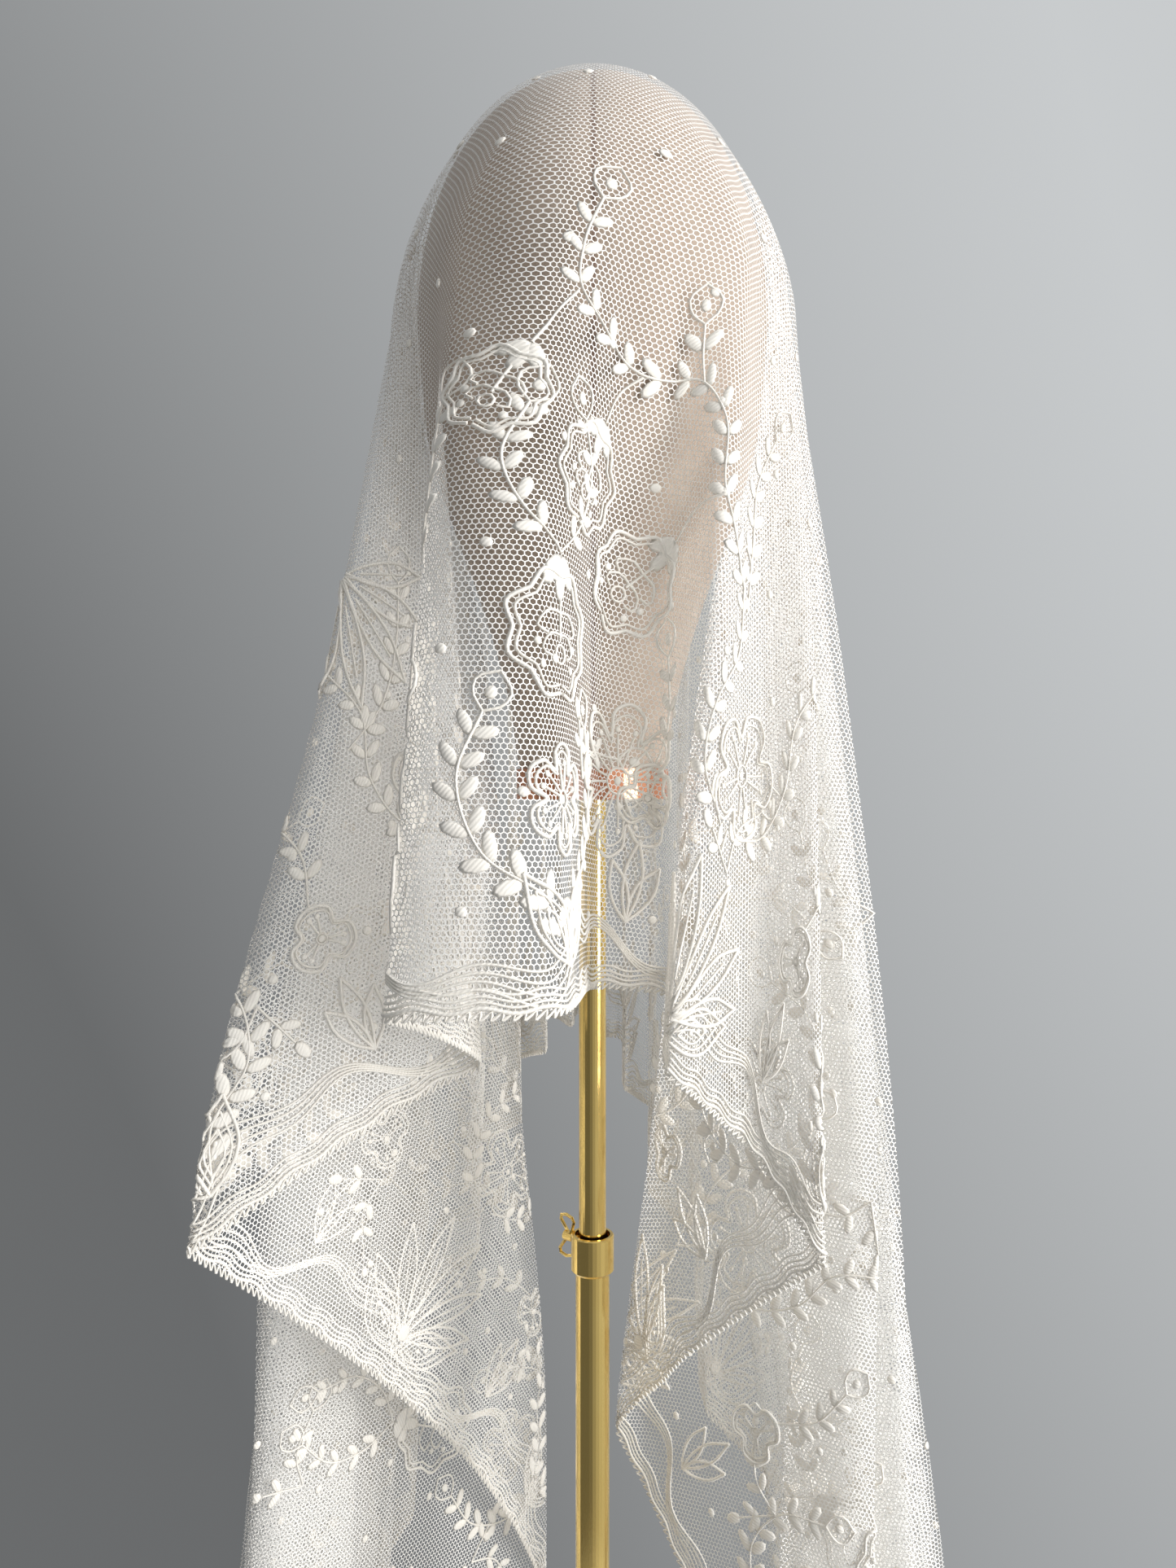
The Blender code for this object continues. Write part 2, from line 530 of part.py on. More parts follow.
def wall(name, rows, closed=False):
    """A wall of cloth through rows of (distances from the crown, flat bearings).

    Half of the thickness lies on each side of the draped surface. Where the next row has more
    columns than its upper neighbour, each upper edge carries a fan of triangles. A closed wall runs
    all the way round and has a vertex on the crown.
    """
    bm = bmesh.new()
    for side in (0.5, -0.5):
        grid = []
        for reach, flat in rows:
            points = on_cloth(reach, flat) + face_out(reach, flat) * WALL * side
            ring = [bm.verts.new(point) for point in points]
            grid.append(ring + ring[:1] if closed else ring)
        faces = []
        for upper, lower in zip(grid, grid[1:]):
            stride = (len(lower) - 1) // (len(upper) - 1)
            for i in range(len(upper) - 1):
                fan = lower[i * stride:(i + 1) * stride + 1]
                middle = stride // 2 + stride % 2
                if stride == 1:
                    faces.append((upper[i], upper[i + 1], fan[1], fan[0]))
                    continue
                faces += [(upper[i], fan[j + 1], fan[j]) for j in range(middle)]
                faces.append((upper[i], upper[i + 1], fan[middle]))
                faces += [(upper[i + 1], fan[j + 1], fan[j]) for j in range(middle, stride)]
        if closed:
            top = bm.verts.new((0, 0, CROWN + CLOTH_OFF_HEAD + WALL * side))
            faces += [(top, b, a) for a, b in zip(grid[0], grid[0][1:])]
        for face in faces:
            bm.faces.new(face)
    bmesh.ops.bridge_loops(bm, edges=[edge for edge in bm.edges if edge.is_boundary])
    bmesh.ops.triangulate(bm, faces=bm.faces)
    return object_from(bm, name, NET, smooth_angle=180)


CROWN_EDGE = 0.155               # seam between the crown piece and the falls
LEVEL_ROWS = (0.176, 0.198, 0.222, 0.255, 0.30, 0.35, 0.40)
LONG_ROWS = 9                    # further rows, which turn to follow the hem, on the side falls
SHORT_ROWS = 3                   # and on the front and the back
Fall = namedtuple("Fall", "name first last")
FALLS = [  # name, flat bearings of its two sides
    Fall("front", -44, 49), Fall("right_front", 49, 89), Fall("right_back", 89, 137),
    Fall("back", 137, 215.5), Fall("left_back", 215.5, 263), Fall("left_front", 263, 316)]


def fall_columns(fall):
    """Flat bearings of a fall's mesh columns, from the grid's column at one side to that at the other."""
    both = np.concatenate([FLATS, FLATS[1:] + 2 * math.pi])
    first, last = (np.abs(both - math.radians(side)).argmin() for side in (fall.first, fall.last))
    return both[first:last + 1]


def inset_sides(reach, flat):
    """Bearings of a row whose two ends stand half a seam inside the fall."""
    bearings = flat.copy()
    bearings[0] += SEAM / 2 / reach[0]
    bearings[-1] -= SEAM / 2 / reach[-1]
    return reach, bearings


for fall in FALLS:
    flats = fall_columns(fall)
    hems = hem_reach(flats)
    reaches = [np.full_like(flats, reach) for reach in (CROWN_EDGE + SEAM / 2, *LEVEL_ROWS)]
    further = hems - LEVEL_ROWS[-1]
    lower_rows = LONG_ROWS if further.max() > 0.5 else SHORT_ROWS
    reaches += [LEVEL_ROWS[-1] + further * (row + 1) / lower_rows for row in range(lower_rows)]
    wall(f"veil_{fall.name}", [inset_sides(reach, flats) for reach in reaches])
    wall(f"edging_{fall.name}", [inset_sides(past_hem(flats, out), flats)
                                 for out in (SEAM, SEAM + EDGING_WIDTH)])

# Crown piece: rings that grow finer towards its edge
spine_flats = spines()[0]
crown_rings = [(np.full_like(spine_flats, reach), spine_flats)
               for reach in (0.022, 0.045, 0.068, 0.09, 0.112, 0.134)]
crown_rings.append((np.full_like(FLATS[:-1], CROWN_EDGE - SEAM / 2), FLATS[:-1]))
wall("veil_crown", crown_rings, closed=True)
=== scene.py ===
"""Looks of the bridal veil: its net, embroidery and edging, the head form and the brass stand.

Metres, +Z up, the front of the veil towards -Y. The veil's own pieces are made flat, as the cloth was
worked, and are then draped: each of their points moves to its place on the hanging cloth.
"""

import math
from collections import namedtuple

import bmesh
import bpy
import numpy as np
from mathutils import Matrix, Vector


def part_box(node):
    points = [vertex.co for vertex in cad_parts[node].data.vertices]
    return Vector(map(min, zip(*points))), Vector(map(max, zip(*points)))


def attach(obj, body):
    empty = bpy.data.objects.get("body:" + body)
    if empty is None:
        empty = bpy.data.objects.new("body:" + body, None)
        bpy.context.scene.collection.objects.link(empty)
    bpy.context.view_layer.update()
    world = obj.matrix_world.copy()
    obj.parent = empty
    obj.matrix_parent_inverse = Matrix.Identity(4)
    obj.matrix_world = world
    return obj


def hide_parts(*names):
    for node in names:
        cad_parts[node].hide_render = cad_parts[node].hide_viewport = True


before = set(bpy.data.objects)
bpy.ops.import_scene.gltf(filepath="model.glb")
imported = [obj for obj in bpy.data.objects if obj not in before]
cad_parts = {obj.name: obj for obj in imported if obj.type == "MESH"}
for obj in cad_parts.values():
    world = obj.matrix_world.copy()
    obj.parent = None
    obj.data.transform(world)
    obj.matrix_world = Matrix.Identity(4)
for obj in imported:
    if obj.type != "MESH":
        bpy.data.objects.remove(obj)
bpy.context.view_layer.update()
scene = bpy.context.scene
MM = 0.001

# The camera looks level from half a metre before the pole, at the height of the copper ring. Its 26 mm
# lens is that of a phone, and it takes in the veil from the crown to the waist.
CAMERA_PLACE = (-0.002, -0.5, 1.150)
camera_data = bpy.data.cameras.new("camera")
camera_data.lens = 26
camera_data.sensor_width = 36
camera_data.clip_start = 0.01
camera = bpy.data.objects.new("camera", camera_data)
camera.location = CAMERA_PLACE
camera.rotation_euler = (math.pi / 2, 0, 0)
scene.collection.objects.link(camera)
scene.camera = camera

# Brass stand: base, tubes, collar and the key of its clamp screw. All are polished and lacquered, with
# faint lines of turning round them and a little dulling in random patches all over.
BRASS = (0.95, 0.70, 0.25)
BRASS_DULLED = (0.86, 0.60, 0.19)
BRASS_ROUGHNESS = (0.06, 0.16)
TURNING_PITCH = 0.4 * MM


def new_material(name, roughness, metallic=0.0):
    """A node material, and its Principled shader, tree and object coordinates."""
    material = bpy.data.materials.new(name)
    material.use_nodes = True
    tree = material.node_tree
    shader = tree.nodes["Principled BSDF"]
    shader.inputs["Roughness"].default_value = roughness
    shader.inputs["Metallic"].default_value = metallic
    place = tree.nodes.new("ShaderNodeTexCoord").outputs["Object"]
    return material, tree, shader, place


def add_node(tree, kind, settings=(), inputs=()):
    """A node with these properties, and its inputs set to values or linked to outputs."""
    node = tree.nodes.new(kind)
    for name, value in dict(settings).items():
        setattr(node, name, value)
    for name, value in dict(inputs).items():
        if isinstance(value, bpy.types.NodeSocket):
            tree.links.new(value, node.inputs[name])
        else:
            node.inputs[name].default_value = value
    return node


def blend_colours(tree, factor, first, second):
    """Output of a mix between two colours."""
    mix = add_node(tree, "ShaderNodeMix", {"data_type": "RGBA"}, {0: factor})
    mix.inputs[6].default_value = (*first, 1)
    mix.inputs[7].default_value = (*second, 1)
    return mix.outputs[2]


def between(tree, value, low, high):
    """Output that goes from low to high as value goes from 0 to 1."""
    return add_node(tree, "ShaderNodeMapRange", {}, {0: value, 3: low, 4: high}).outputs[0]


def add_bump(tree, shader, height, depth, strength=1.0):
    """A bump of this real depth on the shader."""
    bump = add_node(tree, "ShaderNodeBump", {}, {"Strength": strength, "Distance": depth, "Height": height})
    tree.links.new(bump.outputs[0], shader.inputs["Normal"])


def finish_node(name, material):
    """Give a CAD node this finish."""
    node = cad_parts[name]
    node.data.materials.clear()
    node.data.materials.append(material)


brass, tree, shader, place = new_material("polished_brass", 0.18, 1.0)
wear = add_node(tree, "ShaderNodeTexNoise", {}, {"Vector": place, "Scale": 38.0, "Detail": 4.0})
tree.links.new(blend_colours(tree, wear.outputs[0], BRASS, BRASS_DULLED), shader.inputs["Base Color"])
tree.links.new(between(tree, wear.outputs[0], *BRASS_ROUGHNESS), shader.inputs["Roughness"])
height = add_node(tree, "ShaderNodeSeparateXYZ", {}, {0: place}).outputs[2]
turning = add_node(tree, "ShaderNodeMath", {"operation": "SINE"},
                   {0: add_node(tree, "ShaderNodeMath", {"operation": "MULTIPLY"},
                                {0: height, 1: 2 * math.pi / TURNING_PITCH}).outputs[0]})
add_bump(tree, shader, turning.outputs[0], 0.002 * MM)
for name in ("base", "lower_tube", "collar", "mast", "key"):
    finish_node(name, brass)

# Copper ring, a spun cup that closes the neck. It is bright, with a browner bloom in patches.
COPPER = (0.86, 0.42, 0.25)
COPPER_BLOOM = (0.60, 0.27, 0.16)
copper, tree, shader, place = new_material("copper", 0.25, 1.0)
bloom = add_node(tree, "ShaderNodeTexNoise", {}, {"Vector": place, "Scale": 60.0, "Detail": 3.0})
tree.links.new(blend_colours(tree, bloom.outputs[0], COPPER, COPPER_BLOOM), shader.inputs["Base Color"])
tree.links.new(between(tree, bloom.outputs[0], 0.16, 0.42), shader.inputs["Roughness"])
finish_node("neck_ring", copper)

# Head form, stuffed and covered with natural linen that is sewn together along the middle of the face
# and over the crown; shade is painted into the seam's groove. The neck's cover is tucked into the copper
# ring.
CROWN = 1.447
BROW = 1.345
RING_TOP = 1.1565
NECK_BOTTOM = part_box("head_form")[0][2]
HEAD_WIDE = 76 * MM
HEAD_FRONT = 95 * MM
HEAD_BACK = 97 * MM
CROWN_FULLNESS = 2.15
NECK_RADIUS = 31.7 * MM
Section = namedtuple("Section", "height wide front back")
HEAD_SECTIONS = [
    Section(NECK_BOTTOM, NECK_RADIUS, NECK_RADIUS, NECK_RADIUS),
    Section(RING_TOP, NECK_RADIUS, NECK_RADIUS, NECK_RADIUS),
    Section(RING_TOP + 4 * MM, 33.0 * MM, 33.5 * MM, 33.5 * MM),
    Section(1.180, 35.5 * MM, 38 * MM, 38 * MM),
    Section(1.205, 41.5 * MM, 47 * MM, 47 * MM),
    Section(1.235, 51.0 * MM, 61 * MM, 61 * MM),
    Section(1.265, 62.0 * MM, 75 * MM, 76 * MM),
    Section(1.300, 72.0 * MM, 88 * MM, 90 * MM),
    Section(BROW, HEAD_WIDE, HEAD_FRONT, HEAD_BACK)]


def smooth_through(xs, ys, x):
    """Smooth curve through points, which never overshoots them (Fritsch and Carlson's slopes)."""
    xs, ys, x = np.asarray(xs, float), np.asarray(ys, float), np.asarray(x, float)
    gaps = np.diff(xs)
    rises = np.diff(ys) / gaps
    slopes = np.zeros_like(ys)
    slopes[0], slopes[-1] = rises[0], rises[-1]
    for i in range(1, len(xs) - 1):
        if rises[i - 1] * rises[i] > 0:
            slopes[i] = 2 * rises[i - 1] * rises[i] / (rises[i - 1] + rises[i])
    at = np.clip(np.searchsorted(xs, x) - 1, 0, len(gaps) - 1)
    t = np.clip((x - xs[at]) / gaps[at], 0, 1)
    return (ys[at] * (1 + 2 * t) * (1 - t) ** 2 + ys[at + 1] * t * t * (3 - 2 * t)
            + gaps[at] * t * (1 - t) * (slopes[at] * (1 - t) - slopes[at + 1] * t))


def head_radius(height, bearing):
    """Distance from the pole's axis to the head form's surface; bearing 0 is the front."""
    height, bearing = np.broadcast_arrays(height, bearing)
    heights = [section.height for section in HEAD_SECTIONS]
    wide, front, back = (smooth_through(heights, [getattr(section, side) for section in HEAD_SECTIONS],
                                        np.minimum(height, BROW)) for side in ("wide", "front", "back"))
    deep = np.where(np.cos(bearing) > 0, front, back)
    plan = 1 / np.hypot(np.sin(bearing) / wide, np.cos(bearing) / deep)
    rise = np.clip((height - BROW) / (CROWN - BROW), 0, 1)
    return plan * (1 - rise ** CROWN_FULLNESS) ** (1 / CROWN_FULLNESS)


def plan_point(bearing, radius, height):
    """A point by its bearing, its distance from the pole's axis and its height."""
    return np.stack([radius * np.sin(bearing), -radius * np.cos(bearing),
                     np.broadcast_to(height, np.shape(radius))], axis=-1)


def mesh_object(bm, name, material, body="head"):
    """Make a bmesh into a smooth object that rides on a body."""
    mesh = bpy.data.meshes.new(name)
    bm.to_mesh(mesh)
    bm.free()
    mesh.materials.append(material)
    mesh.shade_smooth()
    made = bpy.data.objects.new(name, mesh)
    scene.collection.objects.link(made)
    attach(made, body)
    return made


def points_of(mesh):
    """Vertex places as an array."""
    places = np.empty(len(mesh.vertices) * 3)
    mesh.vertices.foreach_get("co", places)
    return places.reshape(-1, 3)


def move_points(mesh, places):
    """Put the vertices at these places."""
    mesh.vertices.foreach_set("co", np.ascontiguousarray(places, float).ravel())
    mesh.update()


SEAM_DEPTH = 0.9 * MM
SEAM_WIDTH = 1.6 * MM
linen, tree, shader, place = new_material("linen", 0.95)
LINEN = (0.60, 0.50, 0.41)
LINEN_DARK = (0.46, 0.35, 0.27)
SEAM_PAINTED_SHADE = (0.24, 0.15, 0.11)
THREAD_PITCH = 0.55 * MM
shade = add_node(tree, "ShaderNodeTexNoise", {}, {"Vector": place, "Scale": 55.0, "Detail": 6.0})
off_middle = add_node(tree, "ShaderNodeVectorMath", {"operation": "ABSOLUTE"}, {0: place})
# Painted shade: a dark brown band down the middle of the face, over the crown and down the back, where the
# seam's groove lies.
seam_shade_mask = add_node(tree, "ShaderNodeMapRange", {}, {
    0: add_node(tree, "ShaderNodeSeparateXYZ", {}, {0: off_middle.outputs[0]}).outputs[0],
    1: 0.3 * MM, 2: SEAM_WIDTH, 3: 0.8, 4: 0.0})
linen_and_seam_shade = add_node(tree, "ShaderNodeMix", {"data_type": "RGBA"},
                  {0: seam_shade_mask.outputs[0], 6: blend_colours(tree, shade.outputs[0], LINEN, LINEN_DARK)})
linen_and_seam_shade.inputs[7].default_value = (*SEAM_PAINTED_SHADE, 1)
tree.links.new(linen_and_seam_shade.outputs[2], shader.inputs["Base Color"])
weave = add_node(tree, "ShaderNodeTexChecker", {}, {"Vector": place, "Scale": 1 / THREAD_PITCH})
add_bump(tree, shader, weave.outputs[1], 0.12 * MM)
shader.inputs["Sheen Weight"].default_value = 0.3

bm = bmesh.new()
bmesh.ops.create_uvsphere(bm, u_segments=128, v_segments=80, radius=1)
head = mesh_object(bm, "head_cover", linen)
ball = points_of(head.data)
bearings = np.arctan2(ball[:, 0], -ball[:, 1])
slopes = np.arcsin(np.clip(ball[:, 2], -1, 1))
heights = np.where(slopes > 0, BROW + (CROWN - BROW) * np.sin(slopes),
                   BROW + (BROW - NECK_BOTTOM) * np.sin(slopes))
radii = head_radius(heights, bearings)
radii = np.where(np.abs(slopes) > math.pi / 2 - 0.001, 0, radii)
from_seam = np.abs(radii * np.sin(bearings))
groove = SEAM_DEPTH * np.exp(-(from_seam / SEAM_WIDTH) ** 2) * (heights > RING_TOP)
move_points(head.data, plan_point(bearings, np.maximum(radii - groove, 0), heights))
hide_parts("head_form")

# Veil: one oblong of hexagonal cotton net, laid over the head form with its middle on the crown. It is
# only draped, so nothing holds it but its weight. A point of the cloth is given by its flat polar
# place: its distance from the crown, and its bearing from the middle of the front edge.
CHIN = 1.200
CHEST = 1.000
WAIST = 0.800
FOOT = 0.250
FRONT_DROP = 0.432
BACK_DROP = 0.49
SIDE_DROP = 1.15
CORNER_SHARPNESS = 8
CLOTH_OFF_HEAD = 1.9 * MM
CLOTH_OFF_POLE = 32 * MM
CLOTH_USED = 0.97
RING_BOTTOM = 1.1435
COLUMNS_PER_SIDE = 8
NET_ROWS = 150
Fold = namedtuple("Fold", "name flat brow proud chin chest waist foot", defaults=[None])
FRONT_FOLDS = [
    Fold("left_corner", -36.5, -70, 8, (-103, -60), (-147, -82), (-162, -88)),
    Fold("left_valley", -24, -50, 2, (-54, -54), (-46, -28), (-44, -20)),
    Fold("panel_left", -9.5, -29, 8, (-60, -118), (-70, -146), (-74, -155)),
    Fold("panel_right", -2, -8, 8, (-18, -124), (-11, -146), (-9, -155)),
    Fold("middle_valley_1", 8.5, 10, 0, (3, -73), (0, -44), (0, -40)),
    Fold("middle_valley_2", 13, 20, 0, (26, -66), (32, -26), (33, -20)),
    Fold("middle_right", 20.5, 36, 7, (42, -96), (25, -92), (22, -95)),
    Fold("right_dip", 27.5, 48, 3, (63, -71), (57, -70), (56, -72)),
    Fold("right_corner", 35.5, 60, 9, (84, -70), (85, -82), (88, -86)),
    Fold("right_valley", 49, 72, 1, (47, -9), (28, 20), (9, 38))]
LAST_VALLEY = Fold("left_back_valley", 303, 282, 1, (-47, -4), (-36, 62), (-24, 102))
Oval = namedtuple("Oval", "centre radii first last first_aim last_aim tuck")
Pleat = namedtuple("Pleat", "flat brow reach")
RIGHT_OVALS = [Oval((15, 20), (98, 98), 64, 138, (5, 30), (0, 10), 40),
               Oval((25, 25), (112, 105), 58, 141, (20, 55), (15, 15), 50),
               Oval((55, 52), (112, 92), 36, 140, (40, 60), (30, 30), 62),
               Oval((75, 62), (162, 135), 36, 140, (50, 70), (45, 40), 90)]
RIGHT_PLEATS = [Pleat(62, 81, 0.98), Pleat(72, 89, 1.0), Pleat(82, 97, 0.97), Pleat(93, 106, 1.0),
                Pleat(104, 115, 0.97), Pleat(116, 125, 1.0), Pleat(129, 135, 0.98)]
BACK_OVALS = [Oval((-5, 15), (108, 116), 149, 211, (0, 0), (0, 0), 40),
              Oval((-5, 10), (122, 140), 151, 209, (0, 0), (0, 0), 50),
              Oval((-5, 10), (130, 150), 151, 209, (0, 0), (0, 0), 55),
              Oval((-5, 10), (140, 160), 151, 209, (0, 0), (0, 0), 60)]
BACK_PLEATS = [Pleat(144, 146, 1.0), Pleat(155, 156, 0.98), Pleat(166, 166, 1.0), Pleat(177, 176, 0.97),
               Pleat(187, 185, 1.0), Pleat(198, 195, 0.98), Pleat(209, 205, 1.0)]
LEFT_OVALS = [Oval((-15, 20), (97, 98), 223, 294, (0, 10), (-10, 30), 40),
              Oval((-30, 25), (118, 114), 220, 284, (-10, 10), (-30, 95), 45),
              Oval((-62, 60), (108, 98), 212, 300, (-40, 40), (-62, 105), 55),
              Oval((-82, 70), (150, 130), 212, 300, (-60, 50), (-80, 120), 84)]
LEFT_PLEATS = [Pleat(222, 218, 1.0), Pleat(235, 228, 0.98), Pleat(247, 239, 1.0), Pleat(258, 249, 0.97),
               Pleat(268, 257, 1.0), Pleat(278, 265, 0.97), Pleat(288, 273, 1.0)]
PLEAT_PROUD = 10
FOLD_ROUNDNESS = 0.55
RIDGE_ROUNDNESS = 1.6
VALLEY_ROUNDNESS = 0.6
REACHES = np.arange(0, 1.405, 0.005)


def pleat_folds(side, pleats, ovals):
    """Rows like those of FRONT_FOLDS for evenly placed pleats."""
    rows = []
    for i, pleat in enumerate(pleats):
        share = i / (len(pleats) - 1)
        places = []
        for oval in ovals:
            bearing = math.radians(oval.first + (oval.last - oval.first) * share)
            places.append((oval.centre[0] + oval.radii[0] * pleat.reach * math.sin(bearing),
                           oval.centre[1] - oval.radii[1] * pleat.reach * math.cos(bearing)))
        rows.append(Fold(f"{side}_{i + 1}", pleat.flat, pleat.brow, PLEAT_PROUD, *places))
    return rows


def ease(t):
    """Smooth step from 0 to 1."""
    t = np.clip(t, 0, 1)
    return t * t * (3 - 2 * t)


def fold_line(fold):
    """Points of a fold's line at each of REACHES, measured along the line from the crown."""
    rise = np.cos(np.linspace(0, math.pi / 2, 40))
    height = BROW + (CROWN + CLOTH_OFF_HEAD - BROW) * rise
    fall = 1 - rise
    bearing = np.radians(fold.flat + (fold.brow - fold.flat) * ease(fall))
    out = CLOTH_OFF_HEAD + fold.proud * MM * ease((fall - 0.25) / 0.75)
    over_head = plan_point(bearing, head_radius(np.minimum(height, CROWN), bearing)
                           + out * np.sqrt(np.clip(1 - rise ** 2, 0, 1)), height)
    levels = [FOOT, WAIST, CHEST, CHIN, BROW]
    hang = np.linspace(BROW, FOOT, 90)[1:]
    columns = []
    for axis in range(2):
        places = [place[axis] * MM for place in (fold.foot or fold.waist, fold.waist, fold.chest, fold.chin)]
        columns.append(smooth_through(levels, places + [over_head[-1][axis]], hang))
    points = np.vstack([over_head, np.stack([*columns, hang], axis=-1)])
    along = np.concatenate([[0], np.cumsum(np.linalg.norm(np.diff(points, axis=0), axis=1))])
    return np.stack([np.interp(REACHES, along, points[:, axis]) for axis in range(3)], axis=-1)


def valley_line(ridge, after, span, ovals, share_round):
    """Points of the valley between two ridges, as deep as the cloth between them allows."""
    length = REACHES * span * CLOTH_USED
    middle = (ridge + after) / 2
    levels = [FOOT, WAIST, CHEST, CHIN, BROW]
    aims = [[first + (last - first) * share_round for first, last in zip(oval.first_aim, oval.last_aim)]
            for oval in reversed(ovals)] + [(0, 0)]
    height = np.clip(middle[:, 2], FOOT, BROW)
    aim = np.stack([smooth_through(levels, [place[axis] * MM for place in aims], height)
                    for axis in range(2)], axis=-1)
    tucks = [oval.tuck * MM for oval in reversed(ovals)] + [ovals[0].tuck * MM]
    deepest = smooth_through(levels, tucks, height)
    inward = aim - middle[:, :2]
    least, most = np.zeros(len(REACHES)), deepest / np.maximum(np.linalg.norm(inward, axis=1), MM)
    for _ in range(20):
        share = (least + most) / 2
        place = middle[:, :2] + inward * share[:, None]
        used = (np.linalg.norm(place - ridge[:, :2], axis=1)
                + np.linalg.norm(place - after[:, :2], axis=1))
        least = np.where(used < length, share, least)
        most = np.where(used < length, most, share)
    return np.hstack([place, middle[:, 2:]])


def spines():
    """Flat bearing and line of each ridge and valley, all the way round."""
    bearings = [fold.flat for fold in FRONT_FOLDS]
    lines = [fold_line(fold) for fold in FRONT_FOLDS]
    sectors = [("right", RIGHT_PLEATS, RIGHT_OVALS), ("back", BACK_PLEATS, BACK_OVALS),
               ("left", LEFT_PLEATS, LEFT_OVALS)]
    pleats = [(fold, ovals, i / (len(rows) - 1)) for side, rows, ovals in sectors
              for i, fold in enumerate(pleat_folds(side, rows, ovals))]
    for (fold, ovals, share), (following, _, _) in zip(pleats, pleats[1:] + [(None, None, None)]):
        bearings.append(fold.flat)
        lines.append(fold_line(fold))
        if following:
            span = math.radians(following.flat - fold.flat)
            bearings.append((fold.flat + following.flat) / 2)
            lines.append(valley_line(lines[-1], fold_line(following), span, ovals, share))
    bearings.append(LAST_VALLEY.flat)
    lines.append(fold_line(LAST_VALLEY))
    return np.radians(bearings), np.array(lines)


def off_the_head(points):
    """Move points that lie in the head form or by the pole out to where the cloth may be."""
    points = points.copy()
    radius = np.hypot(points[..., 0], points[..., 1])
    bearing = np.arctan2(points[..., 0], -points[..., 1])
    beside = (points[..., 2] <= BROW) & (points[..., 2] > RING_BOTTOM - 0.02)
    least = np.where(beside, head_radius(np.clip(points[..., 2], HEAD_SECTIONS[0].height, BROW), bearing)
                     + CLOTH_OFF_HEAD, CLOTH_OFF_POLE)
    least = np.where(points[..., 2] > BROW, 0, least)
    scale = np.maximum(least / np.maximum(radius, 1e-6), 1)
    points[..., 0] *= scale
    points[..., 1] *= scale
    above = points[..., 2] > BROW
    plan = head_radius(np.full_like(radius, BROW), bearing) + CLOTH_OFF_HEAD
    rise = (points[..., 2] - BROW) / (CROWN + CLOTH_OFF_HEAD - BROW)
    size = ((radius / plan) ** CROWN_FULLNESS + np.abs(rise) ** CROWN_FULLNESS) ** (1 / CROWN_FULLNESS)
    grow = np.where(above & (size < 1), 1 / np.maximum(size, 0.05), 1)
    points[..., 0] *= grow
    points[..., 1] *= grow
    points[..., 2] = BROW + (points[..., 2] - BROW) * np.where(above, grow, 1)
    return points


def draped_grid(per_side):
    """Points of the cloth at each of REACHES and at per_side columns between neighbouring spines.

    Each level is a smooth curve through the ridges and valleys, whose columns are spaced evenly
    along it. The last column repeats the first.
    """
    bearings, lines = spines()
    after = np.roll(lines, -1, axis=0)
    gaps = np.maximum(np.linalg.norm(after - lines, axis=-1, keepdims=True), 1e-9)
    ways = (after - lines) / gaps
    place = np.arange(len(lines)) - len(FRONT_FOLDS)
    large = (place < 0) | (place == place[-1])
    roundness = np.where(large, FOLD_ROUNDNESS, np.where(place % 2, VALLEY_ROUNDNESS, RIDGE_ROUNDNESS))
    roundness = roundness[:, None, None]
    turns = roundness * (ways + np.roll(ways, 1, axis=0)) * np.minimum(gaps, np.roll(gaps, 1, axis=0))
    t = np.linspace(0, 1, 33)[:, None, None, None]
    curve = (lines * (2 * t ** 3 - 3 * t ** 2 + 1) + after * (3 * t ** 2 - 2 * t ** 3)
             + turns * (t ** 3 - 2 * t ** 2 + t) + np.roll(turns, -1, axis=0) * (t ** 3 - t ** 2))
    steps = np.linalg.norm(np.diff(curve, axis=0), axis=-1)
    along = np.concatenate([np.zeros((1, *steps.shape[1:])), np.cumsum(steps, axis=0)])
    along /= np.maximum(along[-1:], 1e-9)
    spans = np.append(bearings[1:], bearings[0] + 2 * math.pi) - bearings
    columns, flats = [], []
    for k in range(per_side):
        share = k / per_side
        before = np.clip((along <= share).sum(axis=0) - 1, 0, len(along) - 2)[None]
        low, high = np.take_along_axis(along, before, 0)[0], np.take_along_axis(along, before + 1, 0)[0]
        first = np.take_along_axis(curve, before[..., None], 0)[0]
        second = np.take_along_axis(curve, before[..., None] + 1, 0)[0]
        part = ((share - low) / np.maximum(high - low, 1e-12))[..., None]
        columns.append(first * (1 - part) + second * part)
        flats.append(bearings + spans * share)
    grid = np.stack(columns, axis=1).reshape(-1, len(REACHES), 3)
    grid = off_the_head(np.concatenate([grid, grid[:1]]))
    flats = np.stack(flats, axis=1).ravel()
    return np.append(flats, flats[0] + 2 * math.pi), grid


FLATS, GRID = draped_grid(COLUMNS_PER_SIDE)


def on_cloth(reach, flat):
    """The draped place of the point at this distance from the crown and this flat bearing."""
    reach, flat = np.broadcast_arrays(np.asarray(reach, float), np.asarray(flat, float))
    turned_flat = FLATS[0] + np.mod(flat - FLATS[0], 2 * math.pi)
    column = np.clip(np.searchsorted(FLATS, turned_flat, side="right") - 1, 0, len(FLATS) - 2)
    across = ((turned_flat - FLATS[column]) / (FLATS[column + 1] - FLATS[column]))[..., None]
    level = np.clip(reach / (REACHES[1] - REACHES[0]), 0, len(REACHES) - 1.001)
    row = level.astype(int)
    down = (level - row)[..., None]
    return ((GRID[column, row] * (1 - down) + GRID[column, row + 1] * down) * (1 - across)
            + (GRID[column + 1, row] * (1 - down) + GRID[column + 1, row + 1] * down) * across)


